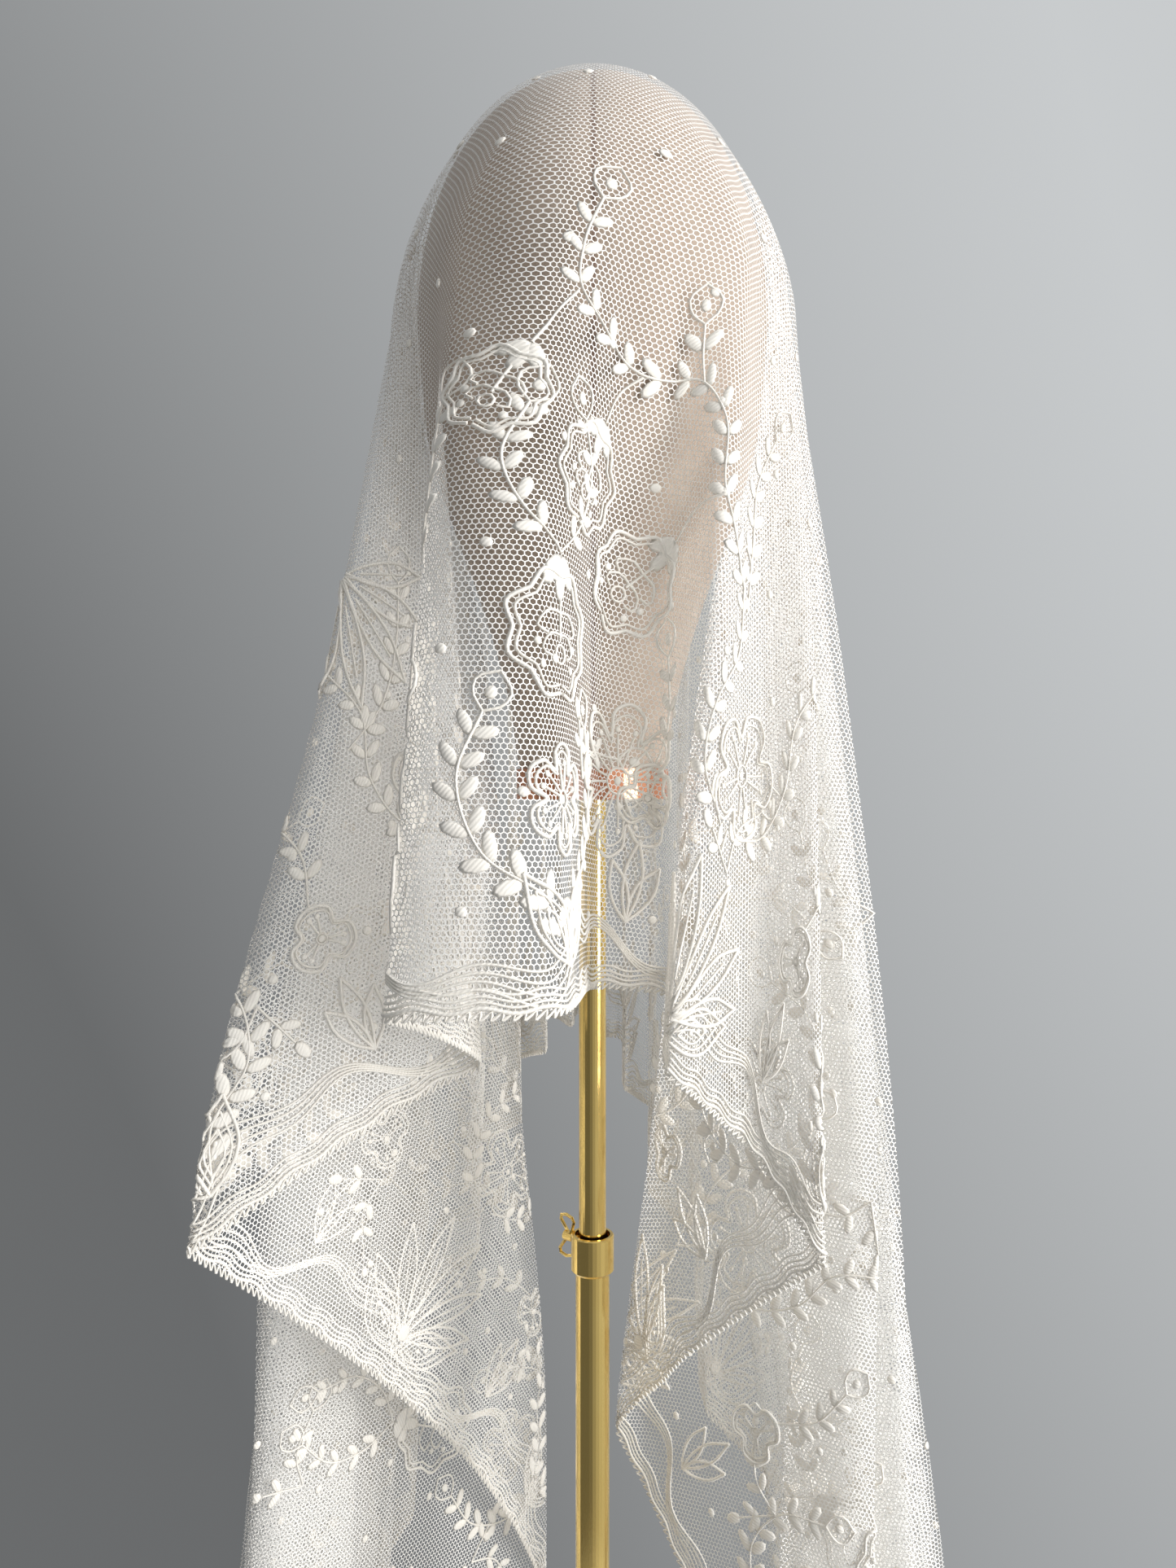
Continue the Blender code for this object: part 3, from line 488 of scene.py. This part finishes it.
def hem_reach(flat):
    """Distance from the crown to the cloth's edge: an oblong with rounded corners."""
    flat = np.asarray(flat, float)
    drop = np.where(np.cos(flat) > 0, FRONT_DROP, BACK_DROP)
    return (np.abs(np.cos(flat) / drop) ** CORNER_SHARPNESS
            + np.abs(np.sin(flat) / SIDE_DROP) ** CORNER_SHARPNESS) ** (-1 / CORNER_SHARPNESS)


def face_out(reach, flat):
    """Unit normal of the draped cloth, on its outer side."""
    down = on_cloth(reach + 0.003, flat) - on_cloth(np.maximum(reach - 0.003, 0), flat)
    turn = 0.004 + 0.0008 / np.maximum(reach, 0.02)
    along = on_cloth(reach, flat + turn) - on_cloth(reach, flat - turn)
    normal = np.cross(down, along)
    return normal / np.maximum(np.linalg.norm(normal, axis=-1), 1e-12)[..., None]


def keep_flat_place(mesh, flat_xy):
    """Store each vertex's place on the flat cloth, in metres, as the mesh's UV map."""
    corners = np.empty(len(mesh.loops), int)
    mesh.loops.foreach_get("vertex_index", corners)
    layer = mesh.uv_layers.new(name="flat_cloth")
    layer.data.foreach_set("uv", np.ascontiguousarray(flat_xy[corners], float).ravel())


NET = (0.94, 0.92, 0.885)
CELL = 2.1 * MM
NET_THREAD = 0.36 * MM
net, tree, shader, place = new_material("cotton_net", 0.85)
shader.inputs["Base Color"].default_value = (*NET, 1)
shader.inputs["Sheen Weight"].default_value = 0.25
flat_place = tree.nodes.new("ShaderNodeTexCoord").outputs["UV"]
HALF_CELL = (0.5, math.sqrt(3) / 2, 1)


def hexagon_centre(offset):
    """Vector from the centre of the nearest cell of one of the two lattices that make the hexagons."""
    moved = add_node(tree, "ShaderNodeVectorMath", {"operation": "MULTIPLY_ADD"},
                     {0: flat_place, 1: (1 / CELL,) * 3, 2: offset})
    return add_node(tree, "ShaderNodeVectorMath", {"operation": "WRAP"},
                    {0: moved.outputs[0], 1: HALF_CELL, 2: tuple(-h for h in HALF_CELL)}).outputs[0]


def cell_depth(vector):
    """How far a point lies from its cell's centre, 0.5 on the cell's sides."""
    parts = add_node(tree, "ShaderNodeSeparateXYZ", {}, {0: add_node(
        tree, "ShaderNodeVectorMath", {"operation": "ABSOLUTE"}, {0: vector}).outputs[0]})
    slanted = add_node(tree, "ShaderNodeMath", {"operation": "MULTIPLY_ADD"},
                       {0: parts.outputs[1], 1: math.sqrt(3) / 2,
                        2: add_node(tree, "ShaderNodeMath", {"operation": "MULTIPLY"},
                                    {0: parts.outputs[0], 1: 0.5}).outputs[0]})
    return add_node(tree, "ShaderNodeMath", {"operation": "MAXIMUM"},
                    {0: parts.outputs[0], 1: slanted.outputs[0]}).outputs[0]


nearest = add_node(tree, "ShaderNodeMath", {"operation": "MINIMUM"},
                   {0: cell_depth(hexagon_centre((0, 0, 0))),
                    1: cell_depth(hexagon_centre((0.5, math.sqrt(3) / 2, 0)))})
thread = add_node(tree, "ShaderNodeMath", {"operation": "GREATER_THAN"},
                  {0: nearest.outputs[0], 1: 0.5 - NET_THREAD / CELL / 2})
tree.links.new(thread.outputs[0], shader.inputs["Alpha"])

bm = bmesh.new()
bmesh.ops.create_grid(bm, x_segments=len(FLATS) - 1, y_segments=NET_ROWS, size=1)
veil = mesh_object(bm, "veil_net", net)
spread = points_of(veil.data)
column = (spread[:, 0] + 1) / 2 * (len(FLATS) - 1)
flats = np.interp(column, np.arange(len(FLATS)), FLATS)
reaches = (1 - spread[:, 1]) / 2 * hem_reach(flats)
keep_flat_place(veil.data, np.stack([reaches * np.sin(flats), reaches * np.cos(flats)], axis=-1))
move_points(veil.data, on_cloth(reaches, flats))
bm = bmesh.new()
bm.from_mesh(veil.data)
bmesh.ops.remove_doubles(bm, verts=bm.verts, dist=0.002 * MM)
bm.to_mesh(veil.data)
bm.free()
veil.data.shade_smooth()
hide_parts(*[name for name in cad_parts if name.startswith("veil_")])

# Embroidery: flowers, leaves and vines in thick ivory cotton, worked on the flat net. Outlines are couched
# cords, and leaves and dots are padded satin stitch. All of it is drawn here on the flat cloth in
# millimetres, as complex numbers: real to the viewer's right, imaginary from the crown to the front edge.
EMBROIDERY = (0.93, 0.895, 0.83)
EMBROIDERY_SHADE = (0.86, 0.81, 0.73)
STITCH_PITCH = 0.9 * MM
CORD = 0.75                      # radius of the outline cord (mm)
FINE_CORD = 0.5
CORD_STEP = 2.6
SATIN_RISE = 0.6
cotton, tree, shader, place = new_material("embroidery_cotton", 0.62)
flat_place = tree.nodes.new("ShaderNodeTexCoord").outputs["UV"]
tone = add_node(tree, "ShaderNodeTexNoise", {}, {"Vector": flat_place, "Scale": 90.0, "Detail": 3.0})
tree.links.new(blend_colours(tree, tone.outputs[0], EMBROIDERY, EMBROIDERY_SHADE),
               shader.inputs["Base Color"])
stitches = add_node(tree, "ShaderNodeTexWave", {"bands_direction": "DIAGONAL"},
                    {"Vector": flat_place, "Scale": 0.31 / STITCH_PITCH, "Distortion": 1.5, "Detail": 1.0})
add_bump(tree, shader, stitches.outputs[1], 0.15 * MM, 0.6)
shader.inputs["Sheen Weight"].default_value = 0.3
cords, satins = [], []


def through(points, closed=False, step=CORD_STEP):
    """Even points along a smooth curve through these points."""
    points = np.asarray(points, complex)
    if closed:
        points = np.append(points, points[0])
    knots = np.append(0, np.cumsum(np.abs(np.diff(points))))
    slopes = np.gradient(points, knots)
    if closed:
        slopes[0] = slopes[-1] = (points[1] - points[-2]) / (knots[1] + knots[-1] - knots[-2])
    at = np.linspace(0, knots[-1], max(int(knots[-1] / step), 2) + 1)
    i = np.clip(np.searchsorted(knots, at, side="right") - 1, 0, len(knots) - 2)
    gap = knots[i + 1] - knots[i]
    t = (at - knots[i]) / gap
    curve = (points[i] * (1 + 2 * t) * (1 - t) ** 2 + points[i + 1] * t * t * (3 - 2 * t)
             + gap * t * (1 - t) * (slopes[i] * (1 - t) - slopes[i + 1] * t))
    return curve[:-1] if closed else curve


def cord(points, closed=False, thick=CORD, step=CORD_STEP):
    """Couch a cord along a smooth curve."""
    cords.append((through(points, closed, step), thick, closed))


def satin(middle, way, long, wide):
    """Padded satin stitch in the shape of a small leaf or dot; way is its direction."""
    satins.append((middle, way / abs(way), long / 2, wide / 2))


def leaf(foot, way, long=11.0, wide=5.2):
    """A short oval satin leaf that grows from foot."""
    satin(foot + way * long / 2, way, long, wide)


def turned_by(way, degrees):
    """A direction turned by some degrees."""
    return way * np.exp(1j * np.radians(degrees))


def petal_outline(foot, way, long, wide, thick=CORD, tip=0.62):
    """A pointed petal outlined in cord."""
    side = 1j * way
    cord([foot, foot + way * long * 0.3 + side * wide * 0.42, foot + way * long * tip + side * wide * 0.5,
          foot + way * long], thick=thick)
    cord([foot, foot + way * long * 0.3 - side * wide * 0.42, foot + way * long * tip - side * wide * 0.5,
          foot + way * long], thick=thick)


def nested_ovals(foot, way, long, wide, rings=3):
    """Pointed ovals one inside the other, with a vein of small holes' edges down the middle."""
    for ring in range(rings):
        share = 1 - 0.27 * ring
        petal_outline(foot + way * long * (1 - share) * 0.35, way, long * share, wide * share, FINE_CORD
                      if ring else CORD, 0.5)
    for share in (0.38, 0.5, 0.62):
        satin(foot + way * long * share, way, 3.2, 2.4)


def sprig(points, leaf_long=10.5, every=13.0, bud=True):
    """A stem with pairs of satin leaves, and a small looped bud at its end."""
    stem = through(points, step=2.2)
    cords.append((stem, FINE_CORD, False))
    ways = np.gradient(stem)
    stride = max(int(every / 2.2), 2)
    for k, i in enumerate(range(stride, len(stem) - 2, stride)):
        way = ways[i] / abs(ways[i])
        size = leaf_long * (1 - 0.25 * k * stride / len(stem))
        leaf(stem[i], turned_by(way, 48), size, size * 0.48)
        leaf(stem[i], turned_by(way, -48), size, size * 0.48)
    way = ways[-1] / abs(ways[-1])
    if bud:
        petal_outline(stem[-1], way, 15, 12, FINE_CORD)
        satin(stem[-1] + way * 7, way, 5, 4)
    else:
        leaf(stem[-1], way, leaf_long)


def blossom(foot, way, size=46.0, lobes=9):
    """A bell blossom: a satin cap of three sepals, a scalloped rim, and curls with dots inside."""
    side = 1j * way
    for turn, long in ((-38, 0.30), (0, 0.36), (38, 0.30)):
        leaf(foot, turned_by(way, turn), size * long, size * 0.15)
    rim = []
    for i in range(lobes):
        round_by = math.pi * (-0.98 + 1.96 * i / (lobes - 1))
        rim.append(foot + way * size * (0.58 - 0.42 * math.cos(round_by)) + side * size * 0.40
                   * math.sin(round_by))
    rim = rim[::-1]
    outline = [rim[0]]
    for first, second in zip(rim, rim[1:]):
        middle = (first + second) / 2
        away = middle - (foot + way * size * 0.55)
        outline += [middle + away / abs(away) * size * 0.10, second]
    scallops = np.concatenate([through(outline[k:k + 3], step=2.0) for k in range(0, len(outline) - 2, 2)])
    middle = foot + way * size * 0.55
    cords.append((scallops, CORD, False))
    cords.append((middle + (scallops - middle) * 0.87, FINE_CORD, False))
    cord([foot + way * size * 0.3, foot + way * size * 0.62], thick=FINE_CORD)
    for mirror in (-1, 1):
        for share, reach in ((0.42, 0.24), (0.58, 0.20)):
            start = foot + way * size * share
            end = start + way * size * 0.13 + side * size * reach * mirror
            cord([start, start + side * size * reach * 0.6 * mirror, end,
                  end - side * size * 0.09 * mirror + way * size * 0.03], thick=FINE_CORD)
            satin(end + way * size * 0.1, way, 3.2, 2.8)
    ring_at = foot + way * size * 0.72
    cord([ring_at + size * 0.07 * np.exp(2j * math.pi * k / 6) for k in range(6)], True, FINE_CORD, 1.6)


def open_flower(middle, way, size=44.0, lobes=5):
    """A flower with a double scalloped outline, veins in its petals and a dotted eye."""
    for share, thick in ((1.0, CORD), (0.86, FINE_CORD)):
        petals = []
        for k in range(lobes):
            for turn, out in ((-0.5, 0.62), (-0.3, 0.95), (0, 1.06), (0.3, 0.95)):
                petals.append(middle + way * size / 2 * share * out
                              * np.exp(2j * math.pi * (k + turn) / lobes))
        cord(petals, True, thick, 2.0)
    for k in range(lobes):
        for turn in (-11, 11):
            ray = turned_by(way, 360 * k / lobes + turn)
            cord([middle + ray * size * 0.1, middle + ray * size * 0.32], thick=FINE_CORD, step=4)
            satin(middle + ray * size * 0.35, ray, 2.8, 2.4)
    cord([middle + size * 0.09 * np.exp(2j * math.pi * k / 6) for k in range(6)], True, FINE_CORD, 1.8)
    satin(middle, way, 3.6, 3.4)


def lily(foot, way, long=70.0, petals=6, spread=110.0, wide=9.5):
    """A fan of long pointed petals, with a vein in each and a satin dot at their foot."""
    for k in range(petals):
        turn = -spread / 2 + spread * k / (petals - 1)
        ray = turned_by(way, turn)
        length = long * (1 - 0.28 * abs(turn) / spread * 2)
        bend = 1j * ray * turn / spread * length * 0.22
        for edge in (-0.5, 0.5):
            cord([foot + ray * 3, foot + ray * length * 0.35 + 1j * ray * wide * edge * 0.8 + bend * 0.2,
                  foot + ray * length * 0.7 + 1j * ray * wide * edge + bend * 0.6,
                  foot + ray * length + bend])
        cord([foot + ray * length * 0.25 + bend * 0.1, foot + ray * length * 0.78 + bend * 0.75],
             thick=FINE_CORD, step=5)
    satin(foot + way * 4, way, 9, 8)


def mirrored(foot, way, points):
    """Points given as (right, up) pairs in a motif's own frame, and the same ones mirrored."""
    for mirror in (1, -1):
        yield [foot + way * up - 1j * way * right * mirror for right, up in points]


def lily_group(foot, way):
    """First unit of the border: a lily between nested ovals, a flower above it and a sprig each side."""
    lily(foot + way * 16, way, 66)
    open_flower(foot + way * 116, way, 46)
    for turn in (-62, 62):
        nested_ovals(foot + way * 10, turned_by(way, turn), 44, 17)
    for stem in mirrored(foot, way, [(6, 92), (26, 104), (33, 128), (27, 152), (36, 176)]):
        sprig(stem)
    cord([foot + way * 84, foot + way * 93], thick=FINE_CORD)


def blossom_group(foot, way):
    """Second unit of the border: a hanging blossom under a bowed sprig, above two pairs of ovals."""
    for stem in mirrored(foot, way, [(2, 14), (12, 34), (34, 50), (40, 74), (30, 96)]):
        sprig(stem, 12)
    for turn in (-34, 34):
        nested_ovals(foot + way * 12, turned_by(way, turn), 38, 16)
    open_flower(foot + way * 68, way, 36, 6)
    blossom(foot + way * 152, -way, 48)
    for stem in mirrored(foot, way, [(0, 153), (14, 166), (20, 184), (12, 204)]):
        sprig(stem, 9.5)


def between_units(foot, way):
    """What fills the border between two units: three fronds from the hem, a trefoil and a short sprig."""
    for turn in (-24, 0, 24):
        petal_outline(foot + way * 26, turned_by(way, turn), 34 - abs(turn) * 0.3, 8)
    open_flower(foot + way * 78, way, 26, 3)
    sprig([foot + way * 92, foot + way * 112 + 1j * way * 5, foot + way * 134 - 1j * way * 2], 9.5)


def edge_place(flat):
    """Point of the cloth's edge at a flat bearing, in millimetres."""
    return hem_reach(flat) * (np.sin(flat) + 1j * np.cos(flat)) / MM


# Hem: four lines of chain stitch along a softly waved edge, above them three cords that scroll along
# the border and swell into waves, and loops of thread all along the edge for a picot.
edge = edge_place(np.linspace(0, 2 * math.pi, 24001))
edge_length = np.append(0, np.cumsum(np.abs(np.diff(edge))))
PERIMETER = edge_length[-1]
BORDER_UNITS = 2 * round(PERIMETER / 150 / 2)
UNIT = PERIMETER / BORDER_UNITS


def from_edge(along, inwards):
    """Points at a distance along the edge and a distance in from it."""
    along = np.mod(along, PERIMETER)
    point = np.interp(along, edge_length, edge)
    ahead = np.interp(np.mod(along + 4, PERIMETER), edge_length, edge)
    behind = np.interp(np.mod(along - 4, PERIMETER), edge_length, edge)
    way = (ahead - behind) / np.abs(ahead - behind)
    return point - 1j * way * inwards


HEM_WAVE = 0.9
PICOT_PITCH = 3.6
PICOT_REACH = 3.0
round_edge = np.arange(0, PERIMETER, 2.6)
soft_wave = HEM_WAVE * np.sin(2 * math.pi * round_edge / (UNIT / 7))
for inwards, thick in ((0.6, CORD), (2.4, FINE_CORD), (4.2, FINE_CORD), (6.4, FINE_CORD)):
    cords.append((from_edge(round_edge, inwards + soft_wave), thick, True))
for line in range(4):
    swell = 16 + 9 * np.sin(2 * math.pi * round_edge / UNIT) + 4 * np.sin(6 * math.pi * round_edge / UNIT)
    spacing = 2.6 + 1.6 * np.cos(2 * math.pi * round_edge / UNIT)
    cords.append((from_edge(round_edge, swell + spacing * (line - 1.5)), FINE_CORD, True))
hem_lines = cords
cords = []
loop_count = int(PERIMETER / PICOT_PITCH)
loop_place = np.linspace(0, PERIMETER, loop_count * 5, endpoint=False)
loop_phase = 2 * math.pi * loop_place * loop_count / PERIMETER
cords.append((from_edge(loop_place + 1.3 * np.sin(loop_phase + math.pi / 2),
                        -PICOT_REACH * (0.5 - 0.5 * np.cos(loop_phase)) + 0.3), FINE_CORD, True))
picots = cords

# Border: the two units by turns along all four edges, growing towards the middle of the cloth, and a
# small group between each two of them.
UNITS_PER_PIECE = 6
border = []
for unit in range(BORDER_UNITS):
    if unit % UNITS_PER_PIECE == 0:
        cords, satins = [], []
        border.append((cords, satins))
    for share, group in ((0, lily_group if unit % 2 else blossom_group), (0.5, between_units)):
        foot = complex(from_edge((unit + share) * UNIT, 0.0))
        inner = complex(from_edge((unit + share) * UNIT, 10.0))
        group(foot, (inner - foot) / abs(inner - foot))

# Ground: vines and blossoms above the border at the front, and dots and small sprigs all over the rest.
cords, satins = [], []
main_vine = [124 + 262j, 106 + 250j, 88 + 234j, 75 + 208j, 59 + 198j, 35 + 202j, 16 + 192j, 5 + 182j,
             5 + 166j, 10 + 148j]
sprig(main_vine)
for stalk, size in (([4 + 184j, -4 + 194j, -11 + 206j], 34), ([36 + 203j, 29 + 212j, 25 + 224j], 42),
                    ([88 + 236j, 76 + 243j, 66 + 256j], 42)):
    cord(stalk, thick=FINE_CORD)
    blossom(stalk[-1], (stalk[-1] - stalk[-2]) / abs(stalk[-1] - stalk[-2]), size)
sprig([60 + 198j, 56 + 190j, 52 + 178j])
open_flower(62 + 350j, 1j, 58, 8)
open_flower(-72 + 318j, 1j, 40)
sprig([124 + 262j, 116 + 238j, 108 + 214j, 112 + 190j])
sprig([-62 + 280j, -50 + 262j, -44 + 240j, -36 + 222j])
lily(-166 + 222j, 1j, 60)
sprig([-190 + 290j, -168 + 280j, -152 + 262j, -140 + 240j])
sprig([-210 + 250j, -190 + 226j, -182 + 200j, -168 + 178j])
front_vines = (cords, satins)
cords, satins = [], []
rng = np.random.default_rng(7)
DOT_PITCH = 46.0
for row in range(-11, 11):
    for step in range(-26, 27):
        at = complex(step * DOT_PITCH + (row % 2) * DOT_PITCH / 2, row * DOT_PITCH * 0.87)
        reach = abs(at)
        flat = math.atan2(at.real, at.imag)
        room = hem_reach(flat) / MM - reach
        if room < 14 or reach < 18:
            continue
        satin(at + complex(*rng.uniform(-6, 6, 2)), 1, 4.2, 3.8)
        if room > 60 and reach > 330 and (row * 7 + step * 3) % 9 == 0:
            way = np.exp(1j * rng.uniform(0, 2 * math.pi))
            sprig([at + way * 8, at + way * 24, at + turned_by(way, 18) * 42], 9)
            sprig([at + way * 8, at + turned_by(way, -50) * 26], 9, bud=False)
ground = (cords, satins)


bm = bmesh.new()
bmesh.ops.create_uvsphere(bm, u_segments=8, v_segments=4, radius=1)
one_stitch = bpy.data.meshes.new("one_satin_stitch")
bm.to_mesh(one_stitch)
bm.free()
STITCH_POINTS = points_of(one_stitch)
STITCH_FACES = [list(face.vertices) for face in one_stitch.polygons]
bpy.data.meshes.remove(one_stitch)


def satin_mesh(satins):
    """Copies of the one padded stitch, each turned and sized for its place on the flat cloth."""
    middles, ways, longs, wides = (np.array(column)[:, None] for column in zip(*satins))
    flat = middles + ways * (STITCH_POINTS[:, 0] * longs + 1j * STITCH_POINTS[:, 1] * wides)
    up = np.broadcast_to(STITCH_POINTS[:, 2] * SATIN_RISE + 0.2, flat.shape)
    faces = [[corner + number * len(STITCH_POINTS) for corner in face]
             for number in range(len(satins)) for face in STITCH_FACES]
    mesh = bpy.data.meshes.new("satin")
    mesh.from_pydata(np.stack([flat.real, flat.imag, up], axis=-1).reshape(-1, 3), [], faces)
    return mesh


def work_piece(name, cords, satins=()):
    """Make cords and satin stitch as one mesh on the flat cloth, and drape it."""
    curve = bpy.data.curves.new(name, "CURVE")
    curve.dimensions = "3D"
    curve.bevel_depth = 1.0
    curve.bevel_resolution = 0
    curve.use_fill_caps = True
    for path, thick, closed in cords:
        line = curve.splines.new("POLY")
        line.points.add(len(path) - 1)
        line.points.foreach_set("co", np.stack([path.real, path.imag, np.full(len(path), thick * 0.9),
                                                np.ones(len(path))], axis=-1).ravel())
        line.points.foreach_set("radius", np.full(len(path), thick))
        line.use_cyclic_u = closed
    drawn = bpy.data.objects.new(name, curve)
    corded = bpy.data.meshes.new_from_object(drawn)
    bpy.data.objects.remove(drawn)
    bm = bmesh.new()
    bm.from_mesh(corded)
    if satins:
        bm.from_mesh(satin_mesh(satins))
    bmesh.ops.reverse_faces(bm, faces=bm.faces)      # the flat drawing is seen from inside the veil
    made = mesh_object(bm, name, cotton)
    mesh = made.data
    drawn = points_of(mesh) * MM
    flat_xy, out = drawn[:, :2], drawn[:, 2:]
    for layer in list(mesh.uv_layers):
        mesh.uv_layers.remove(layer)
    keep_flat_place(mesh, flat_xy)
    reach, flat = np.hypot(*flat_xy.T), np.arctan2(flat_xy[:, 0], flat_xy[:, 1])
    move_points(mesh, on_cloth(reach, flat) + face_out(reach, flat) * out)
    mesh.shade_smooth()
    return made


edging = work_piece("hem_cords", hem_lines)
picot = work_piece("picot_loops", picots)
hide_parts(*[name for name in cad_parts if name.startswith("edging_")])
for number, (unit_cords, unit_satins) in enumerate(border):
    work_piece(f"border_lace_{number + 1}", unit_cords, unit_satins)
work_piece("front_vines", *front_vines)
work_piece("ground_sprigs", *ground)

# Studio: a plain pale floor under the open grey air of a room, which is lighter on the window's side, as
# the photograph's wall is. Soft light comes from the right, with a weak fill. None of it is the object.
FLOOR_GREY = (0.62, 0.61, 0.60)
FLOOR_RADIUS = 1.1
floor_paint, tree, shader, place = new_material("floor_paint", 0.9)
mottle = add_node(tree, "ShaderNodeTexNoise", {}, {"Vector": place, "Scale": 3.0, "Detail": 4.0})
tree.links.new(blend_colours(tree, mottle.outputs[0], FLOOR_GREY, tuple(c * 0.94 for c in FLOOR_GREY)),
               shader.inputs["Base Color"])
bm = bmesh.new()
bmesh.ops.create_circle(bm, cap_ends=True, segments=96, radius=FLOOR_RADIUS)
mesh = bpy.data.meshes.new("studio_floor")
bm.to_mesh(mesh)
bm.free()
mesh.materials.append(floor_paint)
floor = bpy.data.objects.new("studio_floor", mesh)
scene.collection.objects.link(floor)


def soft_light(name, place, aim, wide, high, power):
    """An oblong soft light that points at aim."""
    data = bpy.data.lights.new(name, "AREA")
    data.shape = "RECTANGLE"
    data.size = wide
    data.size_y = high
    data.energy = power
    lamp = bpy.data.objects.new(name, data)
    lamp.location = place
    lamp.rotation_euler = (Vector(aim) - Vector(place)).to_track_quat("-Z", "Y").to_euler()
    scene.collection.objects.link(lamp)


soft_light("window_right", (1.6, -1.0, 1.45), (0, 0, 0.95), 0.7, 1.8, 46)
soft_light("room_fill", (-1.6, -1.8, 1.9), (0, 0, 1.1), 1.2, 1.2, 5)
soft_light("back_fill", (-0.9, 1.9, 1.9), (0, 0, 1.0), 1.2, 1.2, 14)
AIR_GREY = (0.80, 0.825, 0.84)
AIR_LIGHTER_TOWARDS = (0.505, 0, 0.255)
AIR_DARKEST = 0.18
AIR_BRIGHTEST = 0.73
world = bpy.data.worlds.new("studio_air")
world.use_nodes = True
tree = world.node_tree
towards = add_node(tree, "ShaderNodeVectorMath", {"operation": "DOT_PRODUCT"},
                   {0: tree.nodes.new("ShaderNodeTexCoord").outputs["Generated"], 1: AIR_LIGHTER_TOWARDS})
brightness = add_node(tree, "ShaderNodeMapRange", {}, {0: towards.outputs["Value"], 1: -0.25, 2: 0.30,
                                                       3: AIR_DARKEST, 4: AIR_BRIGHTEST})
tree.nodes["Background"].inputs["Color"].default_value = (*AIR_GREY, 1)
tree.links.new(brightness.outputs[0], tree.nodes["Background"].inputs["Strength"])
scene.world = world
scene.view_settings.view_transform = "Standard"
scene.cycles.transparent_max_bounces = 48
